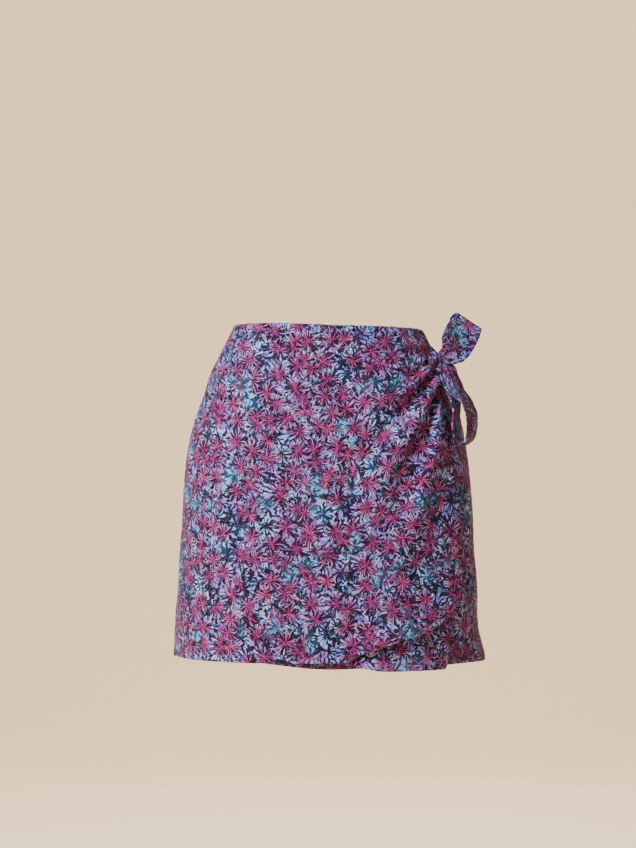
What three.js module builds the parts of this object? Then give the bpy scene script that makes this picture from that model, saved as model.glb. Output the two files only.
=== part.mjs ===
// A wrap-front mini skirt in printed cloth, tied at the wearer's left hip with one loop and one end.
// Millimetres. +Z is up, the front faces -Y and the wearer's left is +X. The origin is the middle of the
// waist opening, at the height of its top edge. "Drop" is the distance below that edge.
import * as THREE from "three";

// ---------------------------------------------------------------- driving sizes

const CLOTH = 1.8; // thickness of one layer of the cloth
const SEAM_GAP = 0.3; // between two panels that are sewn edge to edge
const LAYER_GAP = 0.6; // between two panels that lie on each other
const LAYER = CLOTH + LAYER_GAP;
const ROUNDNESS = 2.2; // exponent of the hollow's section: 2 is an ellipse, more is squarer

// Sections of the hollow that the innermost panel lies round.
const SECTIONS = [
  { drop: -10, halfWidth: 114, front: 84, back: 88 },
  { drop: 0, halfWidth: 116.5, front: 85, back: 89 },
  { drop: 36, halfWidth: 134.5, front: 92, back: 97 },
  { drop: 61, halfWidth: 147, front: 96, back: 102 },
  { drop: 83, halfWidth: 155, front: 99, back: 107 },
  { drop: 124, halfWidth: 167.5, front: 104, back: 115 },
  { drop: 175, halfWidth: 177.5, front: 108, back: 123 },
  { drop: 228, halfWidth: 182, front: 111, back: 128 },
  { drop: 319, halfWidth: 186, front: 114, back: 131 },
  { drop: 420, halfWidth: 190, front: 117, back: 136 },
  { drop: 460, halfWidth: 191.5, front: 118, back: 138 },
];

// Where the parts of the skirt lie round the hollow, in degrees from the middle of the front to the left.
const RIGHT_SIDE_SEAM = -90;
const UNDER_FREE_EDGE = -35;
const UNDER_BACK_EDGE = 116;
const BACK_FRONT_EDGE = 24; // the back panel comes round the left hip as far as this
const OUTER_CORNER = 73; // the outer front's upper corner, behind the knot

// The free edge of the outer front, from its upper corner down past the knot.
const OUTER_EDGE = [
  { drop: 22, angle: OUTER_CORNER },
  { drop: 40, angle: 71 },
  { drop: 54, angle: 65.5 },
  { drop: 70, angle: 60 },
  { drop: 90, angle: 57 },
  { drop: 110, angle: 55.5 },
  { drop: 150, angle: 53.5 },
  { drop: 190, angle: 54.5 },
  { drop: 225, angle: 57 },
  { drop: 320, angle: 57 },
  { drop: 460, angle: 56.5 },
];

// The waist edge: nearly level, with a dip at the left hip where the tie pulls it down.
const WAIST = [
  { angle: -90, drop: 0 },
  { angle: -60, drop: -1 },
  { angle: -35, drop: -1 },
  { angle: 0, drop: 1.5 },
  { angle: 25, drop: 3.5 },
  { angle: 42, drop: 4.5 },
  { angle: 57, drop: 5.5 },
  { angle: 70, drop: 7 },
  { angle: 80, drop: 8.5 },
  { angle: 90, drop: 9.5 },
  { angle: 104, drop: 9 },
  { angle: 120, drop: 5 },
  { angle: 136, drop: 0 },
  { angle: 180, drop: 0 },
];

// Hem of the outer front: level, then rising to the left, then a round corner.
const FRONT_LENGTH = 418;
const HEM_RISE_START = 12;
const HEM_RISE_SLOPE = 0.35;
const HEM_RISE_EASE = 30;
const CORNER_WIDTH = 42;
const CORNER_HEIGHT = 42;

// Hem of the under front: it shows below the outer one.
const UNDER_LENGTH = 430;
const UNDER_RISE_START = 66;
const UNDER_RISE_SLOPE = 0.3;
const UNDER_SIDE_RISE = 14;
const UNDER_SIDE_START = 50;

// Hem of the back panel, by how far round it is from the right side seam.
const BACK_HEM = [
  { turn: 0, drop: 418 },
  { turn: 45, drop: 433 },
  { turn: 90, drop: 450 },
  { turn: 135, drop: 441 },
  { turn: 180, drop: 424 },
  { turn: 214, drop: 413 },
  { turn: 226, drop: 402 },
  { turn: 246, drop: 388 },
];

// The under front closes in round the left thigh towards its hem.
const SNUG = [
  { drop: 120, limit: 195 },
  { drop: 300, limit: 182 },
  { drop: 380, limit: 163 },
  { drop: 435, limit: 146 },
];
const SNUG_SOFTNESS = 7;

// Drapes that fan out of the knot over the outer front. Each is a soft ridge that stands off the layer
// beneath, along a curve by three places: how far across (X) and how far down.
const DRAPES = [
  { across: [118, 70, 8], down: [58, 62, 74], narrow: 6, wide: 13, height: 3.4 },
  { across: [124, 86, 16], down: [62, 88, 128], narrow: 7, wide: 18, height: 6.5 },
  { across: [131, 104, 18], down: [70, 138, 236], narrow: 7, wide: 20, height: 8 },
  { across: [137, 130, 70], down: [84, 205, 352], narrow: 7, wide: 21, height: 7 },
];

const DRAPE_STEPS = 16;

// Soft upright flutes, by the angle of each, growing from their start down to the hem.
const FLUTES = [
  { angle: -102, halfAngle: 11, start: 210, height: 8 },
  { angle: -128, halfAngle: 12, start: 150, height: -5 },
  { angle: -152, halfAngle: 13, start: 170, height: 5.5 },
  { angle: -176, halfAngle: 13, start: 140, height: -4.5 },
  { angle: 160, halfAngle: 13, start: 180, height: 6 },
  { angle: 136, halfAngle: 12, start: 150, height: -5.5 },
  { angle: 104, halfAngle: 13, start: 170, height: 5 },
  { angle: -62, halfAngle: 13, start: 220, height: -2.6 },
  { angle: -34, halfAngle: 14, start: 240, height: 2.6 },
  { angle: -8, halfAngle: 12, start: 260, height: -2.2 },
];
const FLUTE_FULL_DROP = 430;

// The outer front's free edge and its rising hem stand a little off the layers beneath.
const EDGE_LIFT = { height: 3, reach: 34, startDrop: 90, fullDrop: 190 };
const HEM_LIFT = { startAcross: 0, fullAcross: 60, hold: 3 };

// The back panel's hem kicks out at the left hip.
const HIP_FLICK = { height: 7, angle: 92, halfAngle: 22, startDrop: 375, fullDrop: 430 };

// Where the outer front climbs from one layer over the hollow to two, because the back panel is beneath.
const CLIMB_START = BACK_FRONT_EDGE - 16;
const CLIMB_END = BACK_FRONT_EDGE - 3;

// Faces of each wall, round and down. The outer front's columns crowd towards its free edge.
const OUTER_GRID = { columns: 38, rows: 26, crowding: 1.6 };
const UNDER_GRID = { columns: 26, rows: 18 };
const BACK_GRID = { columns: 50, rows: 20 };
const BACK_STRAP_GRID = { columns: 24, rows: 4 };
const STRAP_COLUMNS = 6;
const UPPER_END_ROWS = 14;
const LOWER_LOOP_ROWS = 52;
const KNOT_GRID = { around: 24, rings: 12 };

// Straps: two layers of cloth, folded and sewn.
const STRAP = 3.2;
const BACK_STRAP_WIDTH = 16;
const BACK_STRAP_NARROWED = 0.7; // share of its width at the knot
const BACK_STRAP_RISE = 6; // it lifts off the hip to meet the knot
const KNOT_CREASE = { depth: 0.12, halfWidth: 0.22, turn: 0.9 };

// Upper edge of the strap that comes from behind, along the dip of the waist to the knot.
const BACK_STRAP = [
  { angle: 65.7, drop: 40.5 },
  { angle: 70, drop: 39 },
  { angle: 76, drop: 37.5 },
  { angle: 82, drop: 36 },
  { angle: 90, drop: 34 },
  { angle: 104, drop: 26 },
  { angle: 120, drop: 14 },
  { angle: 140, drop: 0 },
];

const KNOT = { angle: 60.5, drop: 48, lift: 1.2, halfLength: 10.5, halfDepth: 7.5, halfHeight: 8.5 };

// Routes of the straps' middles, from the knot's centre. The width lies along (leanX, leanY, leanZ), and
// the middle stands out of the edges by the cup.
const UPPER_END = [
  { x: 6.8, y: -4.1, z: 2.7, width: 14, cup: 1.5, leanX: 0.5, leanY: 0, leanZ: -0.87 },
  { x: 14.6, y: -5, z: 5.4, width: 26.5, cup: 3, leanX: 0.56, leanY: 0.04, leanZ: -0.83 },
  { x: 22, y: -6.5, z: 11, width: 36.5, cup: 4.5, leanX: 0.74, leanY: 0.08, leanZ: -0.67 },
  { x: 31.6, y: -6.5, z: 28.7, width: 41, cup: 4.5, leanX: 0.92, leanY: 0.12, leanZ: -0.4 },
  { x: 40.4, y: -4.5, z: 48.6, width: 39, cup: 3.5, leanX: 0.92, leanY: 0.15, leanZ: -0.4 },
];
const UPPER_END_SKEW = -3.3; // its cut end slants

const LOWER_LOOP = [
  { x: 6, y: -3.4, z: -5.6, width: 15, cup: 1.5, leanX: 0.9, leanY: 0.42, leanZ: 0 },
  { x: 14.5, y: -5.5, z: -11.5, width: 24, cup: 2.5, leanX: 0.9, leanY: 0.42, leanZ: 0 },
  { x: 19, y: -7, z: -24, width: 27, cup: 2.5, leanX: 0.86, leanY: 0.5, leanZ: 0 },
  { x: 27.5, y: -8, z: -39, width: 30, cup: 2, leanX: 0.72, leanY: 0.69, leanZ: 0 },
  { x: 38.5, y: -8, z: -52.5, width: 34, cup: 1, leanX: 0.48, leanY: 0.88, leanZ: 0 },
  { x: 44.5, y: -8, z: -70, width: 35, cup: 0, leanX: 0.41, leanY: 0.91, leanZ: 0 },
  { x: 45.2, y: -8, z: -86, width: 35, cup: 0, leanX: 0.41, leanY: 0.91, leanZ: 0 },
  { x: 42.4, y: -8, z: -98.5, width: 35, cup: 0, leanX: 0.4, leanY: 0.92, leanZ: 0 },
  { x: 34.3, y: -8.5, z: -103.5, width: 35, cup: 0, leanX: 0.38, leanY: 0.92, leanZ: 0 },
  { x: 26.7, y: -9.5, z: -96.5, width: 35, cup: 0, leanX: 0.3, leanY: 0.95, leanZ: 0 },
  { x: 24.5, y: -10.5, z: -81, width: 35, cup: 0, leanX: 0.26, leanY: 0.97, leanZ: 0 },
  { x: 25.8, y: -8, z: -62, width: 34, cup: 0, leanX: 0.3, leanY: 0.95, leanZ: 0 },
  { x: 22.6, y: -2.5, z: -43, width: 29, cup: 0, leanX: 0.55, leanY: 0.84, leanZ: 0 },
  { x: 16.1, y: -1.2, z: -25, width: 21, cup: 0, leanX: 0.8, leanY: 0.6, leanZ: 0 },
  { x: 6, y: 2.4, z: -8.8, width: 12, cup: 0, leanX: 0.86, leanY: 0.5, leanZ: 0 },
];

// ---------------------------------------------------------------- small maths

const radians = THREE.MathUtils.degToRad;
const mix = THREE.MathUtils.lerp;
const ease = (value, from, to) => THREE.MathUtils.smoothstep(value, from, to);

// A smooth curve through one column of a table, level with the table's ends outside it.
function readTable(rows, key, column, at) {
  if (at <= rows[0][key]) return rows[0][column];
  const last = rows.length - 1;
  if (at >= rows[last][key]) return rows[last][column];
  const i = rows.findIndex((row) => row[key] > at) - 1;
  const slope = (a, b) => (rows[b][column] - rows[a][column]) / (rows[b][key] - rows[a][key]);
  const step = rows[i + 1][key] - rows[i][key];
  const slopeIn = slope(Math.max(i - 1, 0), i + 1) * step;
  const slopeOut = slope(i, Math.min(i + 2, last)) * step;
  const t = (at - rows[i][key]) / step;
  const [t2, t3] = [t * t, t * t * t];
  return (
    (2 * t3 - 3 * t2 + 1) * rows[i][column] +
    (t3 - 2 * t2 + t) * slopeIn +
    (3 * t2 - 2 * t3) * rows[i + 1][column] +
    (t3 - t2) * slopeOut
  );
}

// ---------------------------------------------------------------- the hollow's surface

// A point of the plain hollow, with no folds in it.
function plainPoint(angle, drop, snug) {
  const [s, c] = [Math.sin(radians(angle)), Math.cos(radians(angle))];
  const fit = (Math.abs(s) ** ROUNDNESS + Math.abs(c) ** ROUNDNESS) ** (-1 / ROUNDNESS);
  const depth = readTable(SECTIONS, "drop", c >= 0 ? "front" : "back", drop);
  let x = readTable(SECTIONS, "drop", "halfWidth", drop) * fit * s;
  if (snug) {
    const over = (x - readTable(SNUG, "drop", "limit", drop)) / SNUG_SOFTNESS;
    x -= SNUG_SOFTNESS * Math.log(1 + Math.exp(over));
  }
  return new THREE.Vector3(x, -depth * fit * c, -drop);
}

// The direction straight out of the plain hollow.
function outward(angle, drop, snug) {
  const [stepAngle, stepDrop] = [0.5, 2];
  const round = plainPoint(angle + stepAngle, drop, snug).sub(plainPoint(angle - stepAngle, drop, snug));
  const down = plainPoint(angle, drop + stepDrop, snug).sub(plainPoint(angle, drop - stepDrop, snug));
  return down.cross(round).normalize();
}

// The middle line of each drape, as short straight steps in the plane of across and drop.
const DRAPE_LINES = DRAPES.map(({ across, down }) => {
  const [start, bend, end] = [0, 1, 2].map((i) => new THREE.Vector2(across[i], down[i]));
  return new THREE.QuadraticBezierCurve(start, bend, end).getPoints(DRAPE_STEPS);
});

// Height of one drape at a place on the front. It starts at the knot and fades along its last half.
function drapeHeight(index, across, drop) {
  const { narrow, wide, height } = DRAPES[index];
  const line = DRAPE_LINES[index];
  const place = new THREE.Vector2(across, drop);
  let [nearest, at] = [Infinity, 0];
  for (let i = 0; i < DRAPE_STEPS; i += 1) {
    const step = line[i + 1].clone().sub(line[i]);
    const from = place.clone().sub(line[i]);
    const share = THREE.MathUtils.clamp(from.dot(step) / step.lengthSq(), 0, 1);
    const away = from.addScaledVector(step, -share).length();
    if (away < nearest) [nearest, at] = [away, (i + share) / DRAPE_STEPS];
  }
  const away = nearest / mix(narrow, wide, at);
  return height * (1 - ease(at, 0.5, 1)) * Math.exp(-away * away);
}

// How far the flutes move the cloth out of the plain hollow. Each grows from its start to the hem.
function fluteHeight(angle, drop) {
  let height = 0;
  for (const flute of FLUTES) {
    const turn = Math.abs(((angle - flute.angle + 540) % 360) - 180) / flute.halfAngle;
    const grown = Math.max(0, drop - flute.start) / (FLUTE_FULL_DROP - flute.start);
    height += flute.height * grown ** 1.2 * Math.exp(-turn * turn);
  }
  return height;
}

// The place of a panel's outer face, and the direction out of it.
function clothPoint({ angle, drop, offset, snug = false }) {
  const point = plainPoint(angle, drop, snug);
  const normal = outward(angle, drop, snug);
  return { point: point.addScaledVector(normal, fluteHeight(angle, drop) + offset), normal };
}

const waistDrop = (angle) => readTable(WAIST, "angle", "drop", angle);

// ---------------------------------------------------------------- solids

// A closed wall from a grid of places: outer and inner faces joined by a rim.
function wallGeometry(columns, rows, thickness, placeAt) {
  const positions = [];
  const count = (columns + 1) * (rows + 1);
  const grid = [];
  for (let i = 0; i <= columns; i += 1) {
    for (let j = 0; j <= rows; j += 1) grid.push(placeAt(i / columns, j / rows));
  }
  for (const { point } of grid) positions.push(...point.toArray());
  for (const { point, normal } of grid) {
    positions.push(...point.clone().addScaledVector(normal, -thickness).toArray());
  }
  const at = (i, j) => i * (rows + 1) + j;
  const faces = [];
  const quad = (a, b, c, d) => faces.push(a, b, c, a, c, d);
  for (let i = 0; i < columns; i += 1) {
    for (let j = 0; j < rows; j += 1) {
      const [a, b, c, d] = [at(i, j), at(i, j + 1), at(i + 1, j + 1), at(i + 1, j)];
      quad(a, b, c, d);
      quad(a + count, d + count, c + count, b + count);
    }
  }
  const rim = (a, b) => quad(a, a + count, b + count, b);
  for (let j = 0; j < rows; j += 1) {
    rim(at(0, j), at(0, j + 1));
    rim(at(columns, j + 1), at(columns, j));
  }
  for (let i = 0; i < columns; i += 1) {
    rim(at(i + 1, 0), at(i, 0));
    rim(at(i, rows), at(i + 1, rows));
  }
  const geometry = new THREE.BufferGeometry();
  geometry.setAttribute("position", new THREE.Float32BufferAttribute(positions, 3));
  geometry.setIndex(faces);
  return geometry;
}

// The knot lies on the outer front. Its own directions are along the waist, out of the cloth and up.
function knotFrame() {
  const offset = 2 * LAYER + KNOT.halfDepth + KNOT.lift;
  const { point, normal } = clothPoint({ angle: KNOT.angle, drop: KNOT.drop, offset });
  const along = new THREE.Vector3(-normal.y, normal.x, 0).normalize();
  return new THREE.Matrix4().makeBasis(along, normal, along.clone().cross(normal)).setPosition(point);
}

// A strap swept along a smooth route that starts at the knot.
function strapGeometry(stops, rows, endSkew = 0) {
  const knot = new THREE.Vector3().setFromMatrixPosition(knotFrame());
  const route = new THREE.CatmullRomCurve3(stops.map((stop) => knot.clone().add(stop)));
  const lean = new THREE.CatmullRomCurve3(
    stops.map((stop) => new THREE.Vector3(stop.leanX, stop.leanY, stop.leanZ)),
  );
  const numbered = stops.map((stop, index) => ({ ...stop, index }));
  return wallGeometry(STRAP_COLUMNS, rows, STRAP, (side, run) => {
    const along = route.getTangent(run);
    const across = lean.getPoint(run);
    across.addScaledVector(along, -across.dot(along)).normalize();
    const normal = along.clone().cross(across);
    const stop = run * (stops.length - 1);
    const share = side * 2 - 1;
    const point = route
      .getPoint(run)
      .addScaledVector(across, (share * readTable(numbered, "index", "width", stop)) / 2)
      .addScaledVector(normal, -readTable(numbered, "index", "cup", stop) * share * share + STRAP / 2)
      .addScaledVector(along, endSkew * share * run);
    return { point, normal };
  });
}

// A lump with two soft creases: the straps drawn tight round each other.
function knotGeometry() {
  const { around, rings } = KNOT_GRID;
  const positions = [];
  const crease = (turn, rise) => {
    const away = (Math.cos(turn - KNOT_CREASE.turn) * Math.cos(rise)) / KNOT_CREASE.halfWidth;
    return 1 - KNOT_CREASE.depth * Math.exp(-away * away);
  };
  const place = (turn, rise) => {
    const reach = crease(turn, rise);
    return [
      KNOT.halfLength * reach * Math.cos(turn) * Math.cos(rise),
      KNOT.halfDepth * reach * Math.sin(turn) * Math.cos(rise),
      KNOT.halfHeight * reach * Math.sin(rise),
    ];
  };
  for (let j = 1; j < rings; j += 1) {
    for (let i = 0; i < around; i += 1) {
      positions.push(...place((i / around) * 2 * Math.PI, (j / rings - 0.5) * Math.PI));
    }
  }
  const bottom = positions.length / 3;
  positions.push(...place(0, -Math.PI / 2), ...place(0, Math.PI / 2));
  const at = (i, j) => j * around + (i % around);
  const faces = [];
  for (let i = 0; i < around; i += 1) {
    faces.push(bottom, at(i + 1, 0), at(i, 0));
    faces.push(bottom + 1, at(i, rings - 2), at(i + 1, rings - 2));
    for (let j = 0; j < rings - 2; j += 1) {
      faces.push(at(i, j), at(i + 1, j), at(i + 1, j + 1), at(i, j), at(i + 1, j + 1), at(i, j + 1));
    }
  }
  const geometry = new THREE.BufferGeometry();
  geometry.setAttribute("position", new THREE.Float32BufferAttribute(positions, 3));
  geometry.setIndex(faces);
  return geometry.applyMatrix4(knotFrame());
}

// ---------------------------------------------------------------- panels

// How far down the outer front's hem is, by how far across it is.
function outerHem(across, edgeAcross) {
  const past = across - HEM_RISE_START;
  const rise = HEM_RISE_SLOPE * past * ease(past, 0, HEM_RISE_EASE);
  const intoCorner = Math.max(0, across - edgeAcross + CORNER_WIDTH) / CORNER_WIDTH;
  const corner = CORNER_HEIGHT * (1 - Math.sqrt(Math.max(0, 1 - intoCorner * intoCorner)));
  return FRONT_LENGTH - rise - corner;
}

// The front that lies on top, from the right side seam across to its free edge under the knot.
function outerFront() {
  const seam = RIGHT_SIDE_SEAM + SEAM_GAP / 4;
  const hemEdge = readTable(OUTER_EDGE, "drop", "angle", FRONT_LENGTH);
  const hemAcross = (u) => plainPoint(mix(seam, hemEdge, u), FRONT_LENGTH).x;
  const reachAcross = hemAcross(1) - hemAcross(0);
  const { columns, rows, crowding } = OUTER_GRID;
  return wallGeometry(columns, rows, CLOTH, (run, fall) => {
    const u = 1 - (1 - run) ** crowding;
    const hem = outerHem(hemAcross(u), hemAcross(1));
    const drop = mix(waistDrop(mix(seam, OUTER_CORNER, u)), hem, fall);
    const angle = mix(seam, readTable(OUTER_EDGE, "drop", "angle", drop), u);

    const toEdge = ((1 - u) * reachAcross) / EDGE_LIFT.reach;
    const levelHem = 1 - ease(hemAcross(u), HEM_LIFT.startAcross, HEM_LIFT.fullAcross);
    const toHem = (hem - drop) / EDGE_LIFT.reach + levelHem * HEM_LIFT.hold;
    const lifted = EDGE_LIFT.height * ease(drop, EDGE_LIFT.startDrop, EDGE_LIFT.fullDrop);
    const lift = lifted * Math.exp(-(Math.min(toEdge, toHem) ** 2));

    const across = plainPoint(angle, drop).x;
    const drapes = DRAPES.reduce((sum, _, index) => sum + drapeHeight(index, across, drop), 0);
    const layers = 1 + ease(angle, CLIMB_START, CLIMB_END);
    return clothPoint({ angle, drop, offset: layers * LAYER + drapes + lift });
  });
}

// The front that lies beneath: it hangs from the waist edge and its two upright edges are free.
function underFront() {
  return wallGeometry(UNDER_GRID.columns, UNDER_GRID.rows, CLOTH, (run, fall) => {
    const angle = mix(UNDER_FREE_EDGE, UNDER_BACK_EDGE, run);
    const across = plainPoint(angle, UNDER_LENGTH).x;
    const rightRise = UNDER_RISE_SLOPE * Math.max(0, UNDER_RISE_START - across);
    const sideRise = UNDER_SIDE_RISE * ease(angle, UNDER_SIDE_START, UNDER_BACK_EDGE);
    const drop = mix(waistDrop(angle), UNDER_LENGTH - rightRise - sideRise, fall);
    return clothPoint({ angle, drop, offset: 0, snug: true });
  });
}

// The back, from the right side seam round behind and over the left hip to the front.
function backPanel() {
  const whole = 360 + RIGHT_SIDE_SEAM - BACK_FRONT_EDGE;
  return wallGeometry(BACK_GRID.columns, BACK_GRID.rows, CLOTH, (run, fall) => {
    const turn = mix(SEAM_GAP / 4, whole, 1 - run);
    const angle = RIGHT_SIDE_SEAM - turn > -180 ? RIGHT_SIDE_SEAM - turn : RIGHT_SIDE_SEAM - turn + 360;
    const drop = mix(waistDrop(angle), readTable(BACK_HEM, "turn", "drop", turn), fall);
    const fromHip = (angle - HIP_FLICK.angle) / HIP_FLICK.halfAngle;
    const grown = ease(drop, HIP_FLICK.startDrop, HIP_FLICK.fullDrop);
    const flick = HIP_FLICK.height * grown * Math.exp(-fromHip * fromHip);
    return clothPoint({ angle, drop, offset: LAYER + flick });
  });
}

// ---------------------------------------------------------------- the tie

// The strap that comes along the waist edge from behind to the knot.
function backStrap() {
  return wallGeometry(BACK_STRAP_GRID.columns, BACK_STRAP_GRID.rows, STRAP, (run, fall) => {
    const angle = mix(BACK_STRAP[0].angle, BACK_STRAP.at(-1).angle, run);
    const width = BACK_STRAP_WIDTH * mix(BACK_STRAP_NARROWED, 1, ease(run, 0, 0.3));
    const drop = readTable(BACK_STRAP, "angle", "drop", angle) + width * fall;
    const rise = BACK_STRAP_RISE * (1 - ease(run, 0, 0.16));
    return clothPoint({ angle, drop, offset: LAYER + SEAM_GAP + STRAP + rise });
  });
}

// ---------------------------------------------------------------- the object

const skirt = new THREE.Group();
const print = { color: 0x6d4a86, roughness: 0.9, metalness: 0 };

function add(name, geometry, look = print) {
  const mesh = new THREE.Mesh(geometry, new THREE.MeshStandardMaterial(look));
  mesh.name = name;
  skirt.add(mesh);
}

add("front_outer", outerFront());
add("front_under", underFront(), { ...print, color: 0x5d4476 });
add("back_panel", backPanel());
add("tie_back_strap", backStrap());
add("tie_knot", knotGeometry());
add("tie_upper_end", strapGeometry(UPPER_END, UPPER_END_ROWS, UPPER_END_SKEW));
add("tie_lower_loop", strapGeometry(LOWER_LOOP, LOWER_LOOP_ROWS));

export default skirt;
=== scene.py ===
"""A wrap-front mini skirt in a printed cloth, tied at the wearer's left hip.

The panels are thin shells on the form of their solids, with their folds, hems and topstitching. The tie
is doubled cloth, gathered where it goes into its knot.
"""

import logging
import math
from dataclasses import dataclass, field
from enum import Enum
from typing import Mapping, Sequence

import bpy
import numpy as np
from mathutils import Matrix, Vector


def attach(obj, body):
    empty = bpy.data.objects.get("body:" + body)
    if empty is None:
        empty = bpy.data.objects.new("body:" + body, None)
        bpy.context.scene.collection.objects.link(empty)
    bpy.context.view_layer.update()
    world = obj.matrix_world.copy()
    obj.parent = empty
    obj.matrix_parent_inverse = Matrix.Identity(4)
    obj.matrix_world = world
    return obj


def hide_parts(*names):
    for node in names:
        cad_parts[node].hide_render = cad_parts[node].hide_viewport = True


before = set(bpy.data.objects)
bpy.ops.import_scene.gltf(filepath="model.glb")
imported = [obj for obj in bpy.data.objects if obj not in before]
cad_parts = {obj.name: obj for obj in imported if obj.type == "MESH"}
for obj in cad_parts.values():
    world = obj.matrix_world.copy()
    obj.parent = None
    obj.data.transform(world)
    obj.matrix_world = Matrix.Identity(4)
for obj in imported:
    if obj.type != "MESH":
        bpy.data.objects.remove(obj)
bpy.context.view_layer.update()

log = logging.getLogger("skirt")
Array = np.ndarray
Pair = tuple[float, float]
Pairs = tuple[Pair, ...]
Triple = tuple[float, float, float]
Shade = tuple[float, float, float, float]

MM = 0.001
TINY = 0.001  # keeps divisions and comparisons clear of 0
ROOT = "root"
CLOTH_MAP = "cloth"


# ---------------------------------------------------------------- small maths


def ease(value: Array, start: float, end: float) -> Array:
    """Returns 0 before start, 1 after end and a smooth step between them."""
    share = np.clip((np.asarray(value, float) - start) / (end - start), 0, 1)
    return share * share * (3 - 2 * share)


def mix(start: Array, end: Array, share: Array) -> Array:
    """Returns the place that is this share of the way from start to end."""
    return start + (end - start) * share


def unit(vectors: Array) -> Array:
    """Returns the vectors, each made 1 long."""
    return vectors / np.maximum(np.linalg.norm(vectors, axis=-1, keepdims=True), 1e-12)


def bell(away: Array) -> Array:
    """Returns a smooth hump, 1 at 0 and almost nothing past 2."""
    return np.exp(-np.asarray(away, float) ** 2)


class Curve:
    """A smooth curve through pairs of place and value, level beyond its ends."""

    def __init__(self, pairs: Pairs) -> None:
        """Finds the slope at each place.

        Args:
            pairs: places and the values there, in the order of the places.
        """
        self.at, self.value = np.array(pairs, float).T
        at, value = self.at, self.value
        self.slope = np.empty_like(value)
        self.slope[1:-1] = (value[2:] - value[:-2]) / (at[2:] - at[:-2])
        self.slope[0] = (value[1] - value[0]) / (at[1] - at[0])
        self.slope[-1] = (value[-1] - value[-2]) / (at[-1] - at[-2])

    def __call__(self, at: Array) -> Array:
        """Reads the curve.

        Args:
            at: the places to read it at.

        Returns:
            The values there.
        """
        at = np.asarray(at, float)
        i = np.clip(np.searchsorted(self.at, at, side="right") - 1, 0, len(self.at) - 2)
        step = self.at[i + 1] - self.at[i]
        t = np.clip((at - self.at[i]) / step, 0, 1)
        t2, t3 = t * t, t * t * t
        return (
            (2 * t3 - 3 * t2 + 1) * self.value[i]
            + (t3 - 2 * t2 + t) * self.slope[i] * step
            + (3 * t2 - 2 * t3) * self.value[i + 1]
            + (t3 - t2) * self.slope[i + 1] * step
        )


@dataclass(frozen=True)
class Fold:
    """One soft fold along a bent line. Heights above 0 are ridges, and below 0 are troughs."""

    across: Triple
    down: Triple
    narrow: float
    wide: float
    height: float
    fade_from: float = 0.5
    steps: int = 16

    def line(self) -> Array:
        """Draws the fold's middle line.

        Returns:
            Places across and down.
        """
        t = np.linspace(0, 1, self.steps + 1)
        parts = np.stack([(1 - t) ** 2, 2 * t * (1 - t), t * t])
        return np.stack([np.array(self.across) @ parts, np.array(self.down) @ parts], axis=-1)

    def __call__(self, across: Array, down: Array) -> Array:
        """Measures the fold's height.

        Args:
            across: places across the cloth.
            down: places down it.

        Returns:
            The height at each place.
        """
        place = np.stack([across, down], axis=-1)
        line = self.line()
        nearest = np.full(across.shape, np.inf)
        reached = np.zeros(across.shape)
        for i in range(self.steps):
            step = line[i + 1] - line[i]
            start = place - line[i]
            share = np.clip(start @ step / (step @ step), 0, 1)
            away = np.linalg.norm(start - share[..., None] * step, axis=-1)
            closer = away < nearest
            nearest = np.where(closer, away, nearest)
            reached = np.where(closer, (i + share) / self.steps, reached)
        width = mix(self.narrow, self.wide, reached)
        return self.height * (1 - ease(reached, self.fade_from, 1)) * bell(nearest / width)


class Crinkle:
    """A small uneven waviness of the cloth: many faint waves that run every way."""

    def __init__(
        self, seed: int, shortest: float, longest: float, height: float, count: int = 36
    ) -> None:
        """Draws the waves.

        Args:
            seed: which draw of the waves it is.
            shortest: the shortest wave's length.
            longest: the longest wave's length.
            height: the usual height of them all together.
            count: how many waves there are.
        """
        draw = np.random.default_rng(seed)
        turn = draw.uniform(0, 2 * math.pi, count)
        length = draw.uniform(shortest, longest, count)
        self.waves = np.stack([np.cos(turn), np.sin(turn)]) * (2 * math.pi / length)
        self.phase = draw.uniform(0, 2 * math.pi, count)
        self.height = height * math.sqrt(2 / count)

    def __call__(self, flat: Array) -> Array:
        """Returns the height at places on the flat cloth."""
        return self.height * np.sin(flat @ self.waves + self.phase).sum(axis=-1)


@dataclass(frozen=True)
class Ripple:
    """An even row of gathers: its height, its closeness, its slant and where it starts."""

    height: float
    count: float
    slant: float = 0.0
    start: float = 0.0

    def __call__(self, across: Array, along: Array) -> Array:
        """Returns the height at places across the gathers and along them."""
        return self.height * np.cos(across * self.count + along * self.slant + self.start)


# ---------------------------------------------------------------- meshes


def mesh_object(name: str, points: Array, faces: Sequence[Sequence[int]], flat: Array) -> bpy.types.Object:
    """Makes a smooth object with its own map of the flat cloth.

    Args:
        name: the piece's name.
        points: one place for each corner.
        faces: the corners of each face, seen from outside.
        flat: where each corner lies on the flat cloth, in metres.

    Returns:
        The new object, at the origin.
    """
    mesh = bpy.data.meshes.new(name)
    mesh.from_pydata(points.tolist(), [], [list(face) for face in faces])
    corners = np.empty(len(mesh.loops), dtype=np.int32)
    mesh.loops.foreach_get("vertex_index", corners)
    layer = mesh.uv_layers.new(name=CLOTH_MAP)
    layer.data.foreach_set("uv", flat[corners].astype(np.float32).ravel())
    mesh.polygons.foreach_set("use_smooth", np.ones(len(mesh.polygons), dtype=bool))
    mesh.update()
    piece = bpy.data.objects.new(name, mesh)
    bpy.context.scene.collection.objects.link(piece)
    return piece


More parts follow.
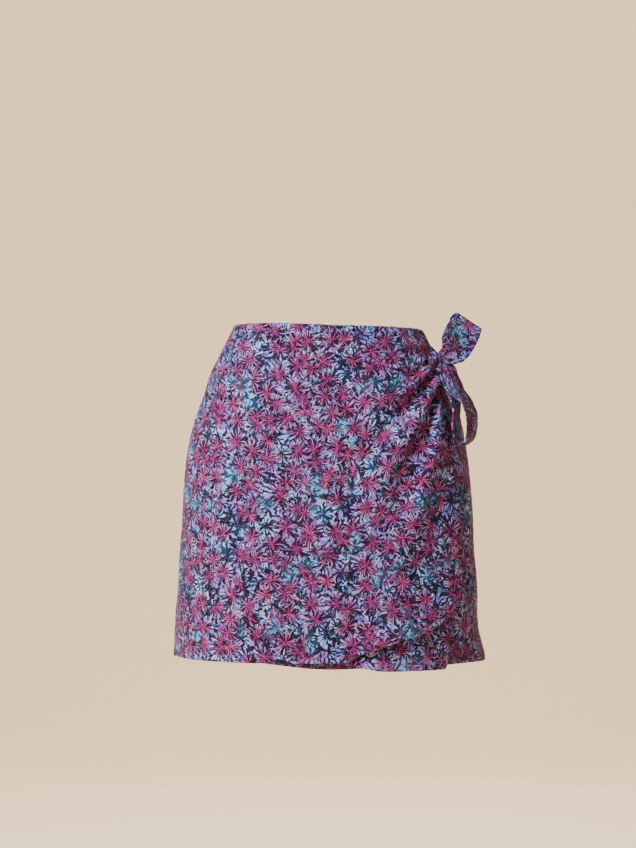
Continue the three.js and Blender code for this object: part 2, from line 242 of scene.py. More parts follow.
def shell(name: str, outer: Array, inner: Array, flat: Array, roundness: float = 0.45) -> bpy.types.Object:
    """Makes a closed thin shell from two faces of cloth that lie back to back.

    Args:
        name: the piece's name.
        outer: the outer face's places, by column, row and axis.
        inner: the inner face's places, in the same order.
        flat: the places on the flat cloth, by column, row and axis.
        roundness: how far its edges swell, as a share of the thickness there.

    Returns:
        The new object. Its inner faces have material number 1.
    """
    columns, rows = outer.shape[0] - 1, outer.shape[1] - 1
    count = (columns + 1) * (rows + 1)
    number = np.arange(count).reshape(columns + 1, rows + 1)
    a, b, c, d = number[:-1, :-1], number[:-1, 1:], number[1:, 1:], number[1:, :-1]
    front = np.stack([a, b, c, d], axis=-1).reshape(-1, 4)
    back = np.stack([a, d, c, b], axis=-1).reshape(-1, 4) + count

    border = np.concatenate(
        [number[0, :-1], number[:-1, -1], number[-1, :0:-1], number[:0:-1, 0]]
    )
    inward = np.concatenate(
        [number[1, :-1], number[:-1, -2], number[-2, :0:-1], number[:0:-1, 1]]
    )
    places, behind = outer.reshape(-1, 3), inner.reshape(-1, 3)
    middle = (places[border] + behind[border]) / 2
    thickness = np.linalg.norm(places[border] - behind[border], axis=-1, keepdims=True)
    edge = middle + unit(places[border] - places[inward]) * thickness * roundness
    rim = np.arange(len(border)) + 2 * count
    ahead = np.roll(np.arange(len(border)), -1)
    over = np.stack([border, rim, rim[ahead], border[ahead]], axis=-1)
    under = np.stack([rim, border + count, border[ahead] + count, rim[ahead]], axis=-1)

    cloth = flat.reshape(-1, 2)
    piece = mesh_object(
        name,
        np.concatenate([places, behind, edge]),
        np.concatenate([front, over, back, under]).tolist(),
        np.concatenate([cloth, cloth, cloth[border]]),
    )
    side = np.zeros(len(piece.data.polygons), dtype=np.int32)
    side[len(front) + len(over) :] = 1
    piece.data.polygons.foreach_set("material_index", side)
    return piece


def flat_area(flat: Array) -> float:
    """Measures the flat cloth under a grid of places on it.

    Args:
        flat: the places, by column, row and axis.

    Returns:
        The area of all its cells.
    """
    first = flat[1:, 1:] - flat[:-1, :-1]
    second = flat[1:, :-1] - flat[:-1, 1:]
    return float(np.abs(first[..., 0] * second[..., 1] - first[..., 1] * second[..., 0]).sum() / 2)


# ---------------------------------------------------------------- the hollow that the cloth hangs on


@dataclass(frozen=True)
class Flute:
    """One upright flute that grows from its start down to the hem."""

    angle: float
    half_angle: float
    start: float
    height: float


@dataclass
class Hollow:
    """The form that all panels share: a waist and hips with no wearer in them. Sizes are in mm.

    The curves give it by how far down it is, but for the waist edge's own drop, which goes by the angle.
    The folds' places across are angles, as `arc` mm to a degree.
    """

    half_width: Curve = field(default_factory=lambda: Curve((
        (-10, 114), (0, 116.5), (36, 134.5), (61, 147), (83, 155), (124, 167.5),
        (175, 177.5), (228, 182), (319, 186), (420, 190), (460, 191.5),
    )))
    front: Curve = field(default_factory=lambda: Curve((
        (-10, 84), (0, 85), (36, 92), (61, 96), (83, 99), (124, 104),
        (175, 108), (228, 111), (319, 114), (420, 117), (460, 118),
    )))
    back: Curve = field(default_factory=lambda: Curve((
        (-10, 88), (0, 89), (36, 97), (61, 102), (83, 107), (124, 115),
        (175, 123), (228, 128), (319, 131), (420, 136), (460, 138),
    )))
    waist: Curve = field(default_factory=lambda: Curve((
        (-90, 0), (-60, -1), (-35, -1), (0, 1.5), (25, 3.5), (42, 4.5), (57, 5.5), (70, 7), (80, 8.5),
        (90, 9.5), (104, 9), (120, 5), (136, 0), (180, 0),
    )))
    snug_limit: Curve = field(default_factory=lambda: Curve((
        (120, 195), (300, 182), (380, 163), (435, 146),
    )))
    flutes: tuple[Flute, ...] = (
        Flute(-102, 11, 210, 8),
        Flute(-128, 12, 150, -5),
        Flute(-152, 13, 170, 5.5),
        Flute(-176, 13, 140, -4.5),
        Flute(160, 13, 180, 6),
        Flute(136, 12, 150, -5.5),
        Flute(104, 13, 170, 5),
        Flute(-62, 13, 220, -2.6),
        Flute(-34, 14, 240, 2.6),
        Flute(-8, 12, 260, -2.2),
    )
    roundness: float = 2.2
    snug_softness: float = 7
    flute_full: float = 430
    flute_growth: float = 1.2
    angle_step: float = 0.5
    drop_step: float = 2
    folds: tuple[Fold, ...] = (
        Fold((-269, -230, -196), (60, 96, 150), 9, 16, -1.3, 0.3),
        Fold((-280, -246, -235), (120, 176, 250), 10, 18, 1.2, 0.3),
        Fold((-420, -370, -314), (52, 66, 88), 9, 16, 1.5, 0.3),
        Fold((-454, -392, -330), (92, 112, 150), 10, 18, -1.4, 0.3),
        Fold((-493, -420, -358), (36, 40, 62), 8, 14, -1.1, 0.3),
        Fold((426, 470, 501), (44, 56, 70), 9, 15, 1.2, 0.3),
        Fold((314, 370, 426), (52, 70, 104), 9, 17, 1.6, 0.3),
        Fold((297, 347, 392), (84, 112, 168), 10, 18, -1.4, 0.3),
        Fold((280, 314, 342), (128, 176, 250), 11, 19, 1.5, 0.3),
        Fold((235, 258, 283), (74, 118, 188), 8, 15, 1.7, 0.3),
        Fold((218, 235, 246), (96, 160, 236), 8, 15, -1.2, 0.3),
    )
    arc: float = 2.8
    sway: Crinkle = field(
        default_factory=lambda: Crinkle(seed=7, shortest=62, longest=150, height=0.75, count=18)
    )
    sway_drop: Pair = (60, 420)
    sway_share: Pair = (0.35, 1.0)
    sway_scale: float = 0.7

    def plain(self, angle: Array, drop: Array, snug: bool = False) -> Array:
        """Finds places on the plain hollow.

        Args:
            angle: degrees round from the middle of the front, towards the wearer's left.
            drop: how far down it is.
            snug: whether the cloth is one that keeps clear of the left side.

        Returns:
            The places, in mm.
        """
        s, c = np.sin(np.radians(angle)), np.cos(np.radians(angle))
        fit = (np.abs(s) ** self.roundness + np.abs(c) ** self.roundness) ** (-1 / self.roundness)
        depth = np.where(c >= 0, self.front(drop), self.back(drop))
        x = self.half_width(drop) * fit * s
        if snug:
            over = (x - self.snug_limit(drop)) / self.snug_softness
            x = x - self.snug_softness * np.logaddexp(0, over)
        return np.stack(np.broadcast_arrays(x, -depth * fit * c, -drop), axis=-1)

    def outward(self, angle: Array, drop: Array, snug: bool = False) -> Array:
        """Finds the directions straight out of the plain hollow.

        Args:
            angle: degrees round from the middle of the front.
            drop: how far down it is.
            snug: whether the cloth is one that keeps clear of the left side.

        Returns:
            The directions, each 1 long.
        """
        a, d = self.angle_step, self.drop_step
        around = self.plain(angle + a, drop, snug) - self.plain(angle - a, drop, snug)
        down = self.plain(angle, drop + d, snug) - self.plain(angle, drop - d, snug)
        return unit(np.cross(down, around))

    def fluting(self, angle: Array, drop: Array) -> Array:
        """Measures the flutes.

        Args:
            angle: degrees round from the middle of the front.
            drop: how far down it is.

        Returns:
            How far they move the cloth out.
        """
        height = np.zeros(np.broadcast(angle, drop).shape)
        for flute in self.flutes:
            turn = ((angle - flute.angle + 180) % 360 - 180) / flute.half_angle
            grown = np.maximum(0, drop - flute.start) / (self.flute_full - flute.start)
            height += flute.height * grown**self.flute_growth * bell(turn)
        return height

    def settling(self, angle: Array, drop: Array) -> Array:
        """Measures the soft folds and the slow waves that all panels share.

        Args:
            angle: degrees round from the middle of the front.
            drop: how far down it is.

        Returns:
            How far they move the cloth out.
        """
        height = np.zeros(np.broadcast(angle, drop).shape)
        for fold in self.folds:
            middle = fold.across[1] / self.arc
            turned = (angle - middle + 180) % 360 - 180 + middle
            height += fold(turned * self.arc, drop)
        place = self.plain(angle, drop)
        slow = self.sway(place[..., [0, 2]]) + self.sway(place[..., [1, 2]])
        return height + slow * mix(*self.sway_share, ease(drop, *self.sway_drop)) * self.sway_scale

    def cloth(self, angle: Array, drop: Array, offset: Array, snug: bool = False) -> Array:
        """Lays cloth over the hollow, its flutes and its folds.

        Args:
            angle: degrees round from the middle of the front.
            drop: how far down it is.
            offset: how far out of the hollow the cloth lies.
            snug: whether the cloth is one that keeps clear of the left side.

        Returns:
            The cloth's places, in mm.
        """
        height = self.fluting(angle, drop) + self.settling(angle, drop) + offset
        return self.plain(angle, drop, snug) + self.outward(angle, drop, snug) * height[..., None]


HOLLOW = Hollow()


class Pattern:
    """Where each place of the hollow lies on the flat cloth: lengths round it and down it, in mm."""

    angle_step: float = 2.0
    drop_step: float = 5.0
    drop_range: Pair = (-20.0, 470.0)
    past_back: int = 5
    margin: float = 0.001

    def __init__(self, hollow: Hollow) -> None:
        """Measures the hollow's lengths on a fine grid, which goes a little past the middle of the back.

        Args:
            hollow: the form that the cloth hangs on.
        """
        last = 180 + self.past_back * self.angle_step
        top, bottom = self.drop_range
        self.angles = np.arange(-last, last + 1, self.angle_step)
        self.drops = np.arange(top, bottom + 1, self.drop_step)
        places = hollow.plain(self.angles[:, None], self.drops[None, :])
        around = np.linalg.norm(np.diff(places, axis=0), axis=-1)
        down = np.linalg.norm(np.diff(places, axis=1), axis=-1)
        self.around = np.concatenate([np.zeros((1, len(self.drops))), np.cumsum(around, axis=0)])
        self.down = np.concatenate([np.zeros((len(self.angles), 1)), np.cumsum(down, axis=1)], axis=1)

    def read(self, table: Array, angle: Array, drop: Array) -> Array:
        """Reads one of the two tables between its grid lines.

        Args:
            table: the lengths round, or the lengths down.
            angle: degrees round from the middle of the front.
            drop: how far down, in mm.

        Returns:
            The lengths there.
        """
        last_column, last_row = (size - 1 - self.margin for size in table.shape)
        i = np.clip((angle - self.angles[0]) / self.angle_step, 0, last_column)
        j = np.clip((drop - self.drops[0]) / self.drop_step, 0, last_row)
        i0, j0 = i.astype(int), j.astype(int)
        s, t = i - i0, j - j0
        low = mix(table[i0, j0], table[i0 + 1, j0], s)
        high = mix(table[i0, j0 + 1], table[i0 + 1, j0 + 1], s)
        return mix(low, high, t)

    def flat(self, angle: Array, drop: Array, centre: float) -> Array:
        """Lays places out flat.

        Args:
            angle: degrees round from the middle of the front.
            drop: how far down, in mm.
            centre: the angle of the panel's own middle line.

        Returns:
            Places across and down the flat cloth, in mm.
        """
        turned = (angle - centre + 180) % 360 - 180 + centre
        wrapped = (turned + 180) % 360 - 180
        whole = self.around[-1 - self.past_back] - self.around[self.past_back]
        extra = np.interp(drop, self.drops, whole) * np.round((turned - wrapped) / 360)
        middle = self.read(self.around, np.full_like(drop, centre), drop)
        return np.stack(
            [
                self.read(self.around, wrapped, drop) + extra - middle,
                -self.read(self.down, wrapped, drop),
            ],
            axis=-1,
        )


PATTERN = Pattern(HOLLOW)


# ---------------------------------------------------------------- finishes


def linear(red: float, green: float, blue: float) -> Shade:
    """Returns a screen colour as the light values that a shader takes."""
    values = [c / 12.92 if c <= 0.04045 else ((c + 0.055) / 1.055) ** 2.4 for c in (red, green, blue)]
    return (*values, 1.0)


class Wire:
    """A number that runs through a material's nodes. Sums with it add Math nodes."""

    def __init__(self, graph: "Graph", socket: bpy.types.NodeSocket) -> None:
        """Wraps one output socket."""
        self.graph = graph
        self.socket = socket

    def __add__(self, other: "Feed") -> "Wire":
        """Returns the sum."""
        return self.graph.math("ADD", self, other)

    def __sub__(self, other: "Feed") -> "Wire":
        """Returns the difference."""
        return self.graph.math("SUBTRACT", self, other)

    def __rsub__(self, other: "Feed") -> "Wire":
        """Returns the difference, the other way round."""
        return self.graph.math("SUBTRACT", other, self)

    def __mul__(self, other: "Feed") -> "Wire":
        """Returns the product."""
        return self.graph.math("MULTIPLY", self, other)

    def __truediv__(self, other: "Feed") -> "Wire":
        """Returns the quotient."""
        return self.graph.math("DIVIDE", self, other)

    __radd__ = __add__
    __rmul__ = __mul__


Feed = Wire | float | tuple


class Graph:
    """The nodes of one material."""

    def __init__(self, name: str) -> None:
        """Starts an empty material.

        Args:
            name: the material's name.
        """
        self.material = bpy.data.materials.new(name)
        self.material.use_nodes = True
        self.tree = self.material.node_tree
        self.tree.nodes.clear()

    def add(
        self, kind: str, settings: Mapping[str, object] | None = None, inputs: Mapping | None = None
    ) -> bpy.types.Node:
        """Adds a node.

        Args:
            kind: the node's type, without its ShaderNode prefix.
            settings: its settings, which are set first.
            inputs: values or wires, by the name or number of the socket.

        Returns:
            The new node.
        """
        node = self.tree.nodes.new(f"ShaderNode{kind}")
        for key, value in (settings or {}).items():
            setattr(node, key, value)
        for key, value in (inputs or {}).items():
            if isinstance(value, Wire):
                self.tree.links.new(value.socket, node.inputs[key])
            else:
                node.inputs[key].default_value = value
        return node

    def wire(self, node: bpy.types.Node, output: str | int = 0) -> Wire:
        """Returns one of a node's outputs."""
        return Wire(self, node.outputs[output])

    def math(self, operation: str, *values: Feed) -> Wire:
        """Returns the result of a Math node."""
        return self.wire(self.add("Math", {"operation": operation}, dict(enumerate(values))))

    def vector(self, operation: str, *values: Feed, output: int = 0, **named: Feed) -> Wire:
        """Returns the result of a Vector Math node."""
        inputs = {**dict(enumerate(values)), **named}
        return self.wire(self.add("VectorMath", {"operation": operation}, inputs), output)

    def step(self, value: Feed, start: Feed, end: Feed) -> Wire:
        """Returns a smooth step from 0 at start to 1 at end."""
        settings = {"interpolation_type": "SMOOTHSTEP", "clamp": True}
        inputs = {"Value": value, "From Min": start, "From Max": end}
        return self.wire(self.add("MapRange", settings, inputs))

    def blend(self, factor: Feed, under: Feed, over: Feed, how: str = "MIX") -> Wire:
        """Returns a colour mixed from two."""
        settings = {"data_type": "RGBA", "blend_type": how}
        return self.wire(self.add("Mix", settings, {0: factor, 6: under, 7: over}), 2)

    def noise(self, vector: Wire, scale: float, detail: float, colour: bool = False) -> Wire:
        """Returns noise, as a number or as a colour."""
        inputs = {"Vector": vector, "Scale": scale, "Detail": detail}
        return self.wire(self.add("TexNoise", None, inputs), 1 if colour else 0)

    def ramp(self, value: Wire, stops: Sequence[tuple[float, Shade]]) -> Wire:
        """Reads a colour from a row of stops.

        Args:
            value: where to read it, from 0 to 1.
            stops: places in the row and the colours there.

        Returns:
            The colour.
        """
        node = self.add("ValToRGB", None, {0: value})
        elements = node.color_ramp.elements
        while len(elements) < len(stops):
            elements.new(0.5)
        for element, (place, colour) in zip(elements, stops):
            element.position = place
            element.color = colour
        return self.wire(node)


@dataclass(frozen=True)
class Bloom:
    """One kind of spiky flower in the print, drawn in strokes that fan out. Lengths are in metres.

    Pairs are where a soft step starts and where it is full. A stroke's own sizes are shares of its cell.
    """

    spacing: float
    reach: float
    strokes: float
    stroke_length: float
    colours: tuple[tuple[float, Shade], ...]
    gap_colour: Shade
    gap_edge_colour: Shade
    dark_share: float
    # how pale the stroke centres go: the print's pale lines, with painted highlight of light on the
    # crinkle along them
    pale: float
    seed: float
    solid_to: float
    spread: float = 0.9
    stroke_spread: float = 0.92
    shift_round: float = 91.0
    shift_out: float = 57.0
    stroke_tones: float = 0.42
    flower_tones: float = 0.20
    gap_fade: Pair = (0.25, 0.85)
    dark_softness: float = 0.04
    dark_cover: float = 0.95
    point: float = 0.55
    petal: Pair = (0.25, 0.41)
    core: Pair = (0.04, 0.20)
    core_chance: Pair = (0.30, 0.90)
    core_fade: Pair = (0.1, 0.5)
    ragged: float = 0.7
    rim: Pair = (0.84, 0.96)
    solid_fade: float = 0.7


@dataclass(frozen=True)
class Blotch:
    """Soft blotches of noise: their scale and detail, and where a blotch starts and is full."""

    scale: float
    detail: float
    start: float
    full: float

    def on(self, graph: Graph, flat: Wire) -> Wire:
        """Returns 0 between the blotches and 1 on them."""
        return graph.step(graph.noise(flat, self.scale, self.detail), self.start, self.full)


@dataclass
class Drawn:
    """What one kind of flower gives: its colour, how far it covers what lies under it, and its draw."""

    colour: Wire
    cover: Wire
    random: Wire


class Face(Enum):
    """The two faces of a printed cloth."""

    RIGHT = "right"
    WRONG = "wrong"


INK = linear(0.09, 0.02, 0.11)
TEAL_INK = linear(0.05, 0.06, 0.14)
MAROON = linear(0.12, 0.01, 0.13)
ROSE = linear(0.78, 0.28, 0.58)
MAGENTA = linear(0.58, 0.17, 0.52)
WINE = linear(0.29, 0.05, 0.33)
PURPLE = linear(0.46, 0.14, 0.56)
ORCHID = linear(0.70, 0.44, 0.84)
LILAC = linear(0.66, 0.64, 0.96)
SKY = linear(0.34, 0.75, 1.0)
SLATE = linear(0.26, 0.36, 0.62)
# near white: the print's pale stroke centres, and the painted glints and highlights of light on the
# crinkle
CHALK = linear(0.94, 0.86, 1.0)
CYAN_WASH = (0.42, 1.08, 1.10, 1.0)  # it multiplies a colour, so it has light values
# the colour of the cloth's random fading, and also of the painted shade that darkens the tie's print
FADE_AND_SHADE = linear(0.16, 0.10, 0.20)
# the wrong face's ground: the print dulled as on a wrong side, and made dark as painted shade for insides
# seen in shadow
WRONG_SIDE_AND_SHADE = linear(0.36, 0.28, 0.42)

MAGENTA_BLOOM = Bloom(
    spacing=0.0236,
    reach=0.0200,
    strokes=27,
    stroke_length=0.0125,
    colours=(
        (0.0, ROSE), (0.10, ROSE), (0.20, MAGENTA), (0.46, MAGENTA), (0.56, WINE), (0.68, PURPLE),
        (0.80, ORCHID), (0.92, LILAC), (1.0, SKY),
    ),
    gap_colour=MAROON,
    gap_edge_colour=INK,
    dark_share=0.34,
    pale=0.75,
    seed=3.1,
    solid_to=0.50,
)
BLUE_BLOOM = Bloom(
    spacing=0.0175,
    reach=0.0150,
    strokes=16,
    stroke_length=0.0078,
    colours=(
        (0.0, TEAL_INK), (0.16, TEAL_INK), (0.30, SLATE), (0.46, SKY), (0.62, LILAC), (0.80, SKY),
        (1.0, ORCHID),
    ),
    gap_colour=TEAL_INK,
    gap_edge_colour=INK,
    dark_share=0.37,
    pale=0.85,
    seed=23.3,
    solid_to=3.0,
)


@dataclass(frozen=True)
class PrintedCloth:
    """A crinkled cotton, printed all over with spiky flowers in magenta, lilac and sky blue, with painted
    glints of light.
    """

    face: Face
    # painted shade: darkens the whole cloth evenly toward the fading colour, making a shaded copy of the
    # print; the tie's print uses it
    painted_shade: float = 0.0
    uneven: float = 0.16
    # how far the wrong face goes toward that dark ground, which is partly painted shade
    wrong_and_shade_cover: float = 0.45
    wobble_scale: float = 95.0
    wobble: float = 0.0050
    clear: Blotch = Blotch(26.0, 1.5, 0.57, 0.68)
    clear_glow: float = 0.06
    clear_share: float = 0.70
    violet: Blotch = Blotch(31.0, 1.0, 0.40, 0.56)
    violet_share: float = 0.65
    missing: Pair = (0.05, 0.09)
    # painted glints: small pale flecks that stand in for light catching the crinkled cloth
    painted_glint: Blotch = Blotch(560.0, 1.0, 0.64, 0.72)
    painted_glint_share: float = 0.30
    darkening: Blotch = Blotch(34.0, 2.0, 0.35, 0.75)
    weave: float = 2100.0
    weave_height: float = 0.12
    crepe: float = 420.0
    slub: float = 130.0
    slub_height: float = 1.6
    relief: float = 0.0011
    relief_strength: float = 0.75
    roughness: float = 0.86
    roughness_range: float = 0.16
    roughness_scale: float = 300.0
    sheen: float = 0.08
    shine: float = 0.16

    def draw(self, graph: Graph, flat: Wire, bloom: Bloom) -> Drawn:
        """Draws one kind of flower over the whole cloth.

        Args:
            graph: the material's nodes.
            flat: the places on the flat cloth, in metres.
            bloom: the kind of flower.

        Returns:
            Its colour and its cover.
        """
        moved = graph.vector("ADD", flat, (bloom.seed, bloom.seed * 0.7, 0.0))
        cells = graph.add(
            "TexVoronoi",
            {"voronoi_dimensions": "2D", "feature": "F1"},
            {"Vector": moved, "Scale": 1 / bloom.spacing, "Randomness": bloom.spread},
        )
        away = graph.vector("SUBTRACT", moved, graph.wire(cells, "Position"))
        draws = graph.add("SeparateXYZ", None, {0: graph.wire(cells, "Color")})
        random, turned = graph.wire(draws, 0), graph.wire(draws, 1)
        far = graph.vector("LENGTH", away, output=1)
        parts = graph.add("SeparateXYZ", None, {0: away})
        turn = graph.math("ARCTAN2", graph.wire(parts, 1), graph.wire(parts, 0))

        round_at = turn * (bloom.strokes / (2 * math.pi)) + random * bloom.shift_round
        out_at = far / bloom.stroke_length + turned * bloom.shift_out
        polar = graph.wire(graph.add("CombineXYZ", None, {0: round_at, 1: out_at}))
        strokes = graph.add(
            "TexVoronoi",
            {"voronoi_dimensions": "2D", "feature": "F1"},
            {"Vector": polar, "Scale": 1.0, "Randomness": bloom.stroke_spread},
        )
        beside = graph.vector("SUBTRACT", polar, graph.wire(strokes, "Position"))
        place = graph.add("SeparateXYZ", None, {0: beside})
        across = graph.math("ABSOLUTE", graph.wire(place, 0))
        along = graph.math("ABSOLUTE", graph.wire(place, 1))
        draws = graph.add("SeparateXYZ", None, {0: graph.wire(strokes, "Color")})
        tone, shade, length = (graph.wire(draws, k) for k in range(3))

        share = far / bloom.reach
        jitter = (tone - 0.5) * bloom.stroke_tones + (random - 0.5) * bloom.flower_tones
        colour = graph.ramp(share + jitter, bloom.colours)
        gap = graph.blend(graph.step(share, *bloom.gap_fade), bloom.gap_colour, bloom.gap_edge_colour)
        dark = 1.0 - graph.step(shade, bloom.dark_share, bloom.dark_share + bloom.dark_softness)
        colour = graph.blend(dark * bloom.dark_cover, colour, gap)
        petal = across + along * along * bloom.point
        # pale stroke centres: the print's own pale lines, and also painted highlight for light on the
        # crinkle
        core = (1.0 - graph.step(petal, *bloom.core)) * graph.step(shade, *bloom.core_chance)
        core = core * bloom.pale
        colour = graph.blend(core * graph.step(share, *bloom.core_fade), colour, CHALK)
        line = 1.0 - graph.step(petal, *bloom.petal)
        own = 1.0 - graph.step(share + (length - 0.5) * bloom.ragged, *bloom.rim)
        solid = 1.0 - graph.step(share, bloom.solid_to * bloom.solid_fade, bloom.solid_to)
        filled = graph.math("MAXIMUM", line, solid)
        return Drawn(graph.blend(line, gap, colour), own * filled, random)

    def paint(self, graph: Graph, flat: Wire) -> Wire:
        """Lays the magenta flowers over the blue ones, with clearer blue in patches and painted glints on
        top.

        Args:
            graph: the material's nodes.
            flat: the places on the flat cloth, in metres.

        Returns:
            The print's colour.
        """
        bent = graph.noise(flat, self.wobble_scale, 2.0, colour=True)
        bent = graph.vector("SUBTRACT", bent, (0.5, 0.5, 0.5))
        flat = graph.vector("ADD", flat, graph.vector("SCALE", bent, Scale=self.wobble))

        blue = self.draw(graph, flat, BLUE_BLOOM)
        large = self.draw(graph, flat, MAGENTA_BLOOM)
        patch = self.clear.on(graph, flat)
        washed = graph.blend(1.0, blue.colour, CYAN_WASH, "MULTIPLY")
        clear = graph.blend(self.clear_glow, washed, SKY, "ADD")
        orchid = graph.blend(1.0, blue.colour, ORCHID, "MULTIPLY")
        cool = graph.blend(self.violet.on(graph, flat) * self.violet_share, blue.colour, orchid)
        cool = graph.blend(patch, cool, clear)
        there = graph.step(large.random, *self.missing)
        shown = large.cover * (1.0 - patch * self.clear_share) * there
        colour = graph.blend(shown, cool, large.colour)
        # painted glints of light on the crinkle, laid over the print
        return graph.blend(self.painted_glint.on(graph, flat) * self.painted_glint_share, colour, CHALK)

    def make(self, name: str) -> bpy.types.Material:
        """Makes the material.

        Args:
            name: its name.

        Returns:
            The material, which reads the piece's own map of the flat cloth.
        """
        graph = Graph(name)
        flat = graph.wire(graph.add("UVMap", {"uv_map": CLOTH_MAP}))
        colour = self.paint(graph, flat)
        # the wrong face: its print dulled, and darkened as painted shade for the shadowed insides
        if self.face is Face.WRONG:
            colour = graph.blend(self.wrong_and_shade_cover, colour, WRONG_SIDE_AND_SHADE)
        # random faded blotches, plus an even painted shade over the whole cloth
        darkening = self.darkening.on(graph, flat) * self.uneven + self.painted_shade
        colour = graph.blend(darkening, colour, FADE_AND_SHADE)

        threads = graph.vector("SCALE", flat, Scale=self.weave)
        parts = graph.add("SeparateXYZ", None, {0: threads})
        warp = graph.math("SINE", graph.wire(parts, 0) * 2.0)
        weft = graph.math("SINE", graph.wire(parts, 1) * 2.0)
        crepe = graph.noise(flat, self.crepe, 3.0)
        slub = graph.noise(flat, self.slub, 2.0)
        height = warp * weft * self.weave_height + crepe + slub * self.slub_height
        relief = {"Strength": self.relief_strength, "Distance": self.relief, "Height": height}
        bump = graph.add("Bump", None, relief)
        spread = graph.noise(flat, self.roughness_scale, 2.0) * self.roughness_range
        rough = spread + (self.roughness - self.roughness_range / 2)
        shader = graph.add(
            "BsdfPrincipled",
            None,
            {
                "Base Color": colour,
                "Roughness": rough,
                "Normal": graph.wire(bump),
                "Sheen Weight": self.sheen,
                "Specular IOR Level": self.shine,
            },
        )
        graph.add("OutputMaterial", None, {0: graph.wire(shader)})
        return graph.material


@dataclass(frozen=True)
class Thread:
    """A plum sewing thread, twisted."""

    colour: Shade = linear(0.34, 0.16, 0.36)
    light_colour: Shade = linear(0.52, 0.30, 0.54)
    twist: float = 900.0
    relief: float = 0.0002
    roughness: float = 0.62
    roughness_range: float = 0.2

    def make(self, name: str) -> bpy.types.Material:
        """Makes the material, with the twist as fine slanting bands.

        Args:
            name: its name.

        Returns:
            The material.
        """
        graph = Graph(name)
        place = graph.wire(graph.add("TexCoord"), "Object")
        mottle = graph.noise(place, self.twist, 2.0)
        colour = graph.blend(mottle, self.colour, self.light_colour)
        bands = {"Vector": place, "Scale": self.twist}
        twist = graph.add("TexWave", {"bands_direction": "DIAGONAL"}, bands)
        relief = {"Strength": 0.4, "Distance": self.relief, "Height": graph.wire(twist)}
        bump = graph.add("Bump", None, relief)
        rough = mottle * self.roughness_range + (self.roughness - self.roughness_range / 2)
        shader = graph.add(
            "BsdfPrincipled", None, {"Base Color": colour, "Roughness": rough, "Normal": graph.wire(bump)}
        )
        graph.add("OutputMaterial", None, {0: graph.wire(shader)})
        return graph.material


@dataclass(frozen=True)
class Paper:
    """A plain pale backdrop."""

    colour: Shade = linear(0.93, 0.835, 0.69)
    shade_colour: Shade = linear(0.91, 0.815, 0.67)
    mottle: float = 0.6
    roughness: float = 0.9

    def make(self, name: str) -> bpy.types.Material:
        """Makes the material, with a faint unevenness.

        Args:
            name: its name.

        Returns:
            The material.
        """
        graph = Graph(name)
        place = graph.wire(graph.add("TexCoord"), "Object")
        colour = graph.blend(graph.noise(place, self.mottle, 1.0), self.colour, self.shade_colour)
        shader = graph.add("BsdfPrincipled", None, {"Base Color": colour, "Roughness": self.roughness})
        graph.add("OutputMaterial", None, {0: graph.wire(shader)})
        return graph.material


# ---------------------------------------------------------------- sewing


@dataclass
class Patch:
    """A face of sewn cloth as a grid: its places and directions out of it, and where it lies flat."""

    places: Array
    normals: Array
    flat: Array

    def find(self, flat: Array) -> tuple[Array, Array]:
        """Finds places on the cloth from where they lie flat.

        Args:
            flat: places on the flat cloth, one a row.

        Returns:
            The places and the directions out of the cloth.
        """
        grid = self.flat.reshape(-1, 2)
        rows = self.flat.shape[1]
        nearest = np.array([int(np.argmin(((grid - place) ** 2).sum(axis=1))) for place in flat])
        i = np.clip(nearest // rows, 0, self.flat.shape[0] - 2)
        j = np.clip(nearest % rows, 0, rows - 2)
        sides = np.stack(
            [self.flat[i + 1, j] - self.flat[i, j], self.flat[i, j + 1] - self.flat[i, j]], axis=-1
        )
        share = np.linalg.solve(sides, (flat - self.flat[i, j])[..., None])[..., 0]
        across = self.places[i + 1, j] - self.places[i, j]
        down = self.places[i, j + 1] - self.places[i, j]
        return self.places[i, j] + share[:, :1] * across + share[:, 1:] * down, self.normals[i, j]


def reached_along(line: Array) -> Array:
    """Returns how far along a line each of its places is."""
    return np.concatenate([[0], np.cumsum(np.linalg.norm(np.diff(line, axis=0), axis=1))])


def on_line(line: Array, at: Array) -> Array:
    """Finds places on a line of the flat cloth from how far along it they are.

    Args:
        line: the line's places, one a row.
        at: how far along the wanted places are.

    Returns:
        The wanted places, one a row.
    """
    reached = reached_along(line)
    return np.stack([np.interp(at, reached, line[:, k]) for k in (0, 1)], axis=-1)


@dataclass(frozen=True)
class Ring:
    """One ring of a stitch: its share of the way along, its width, and how far out it is."""

    share: float
    width: float
    lift: float


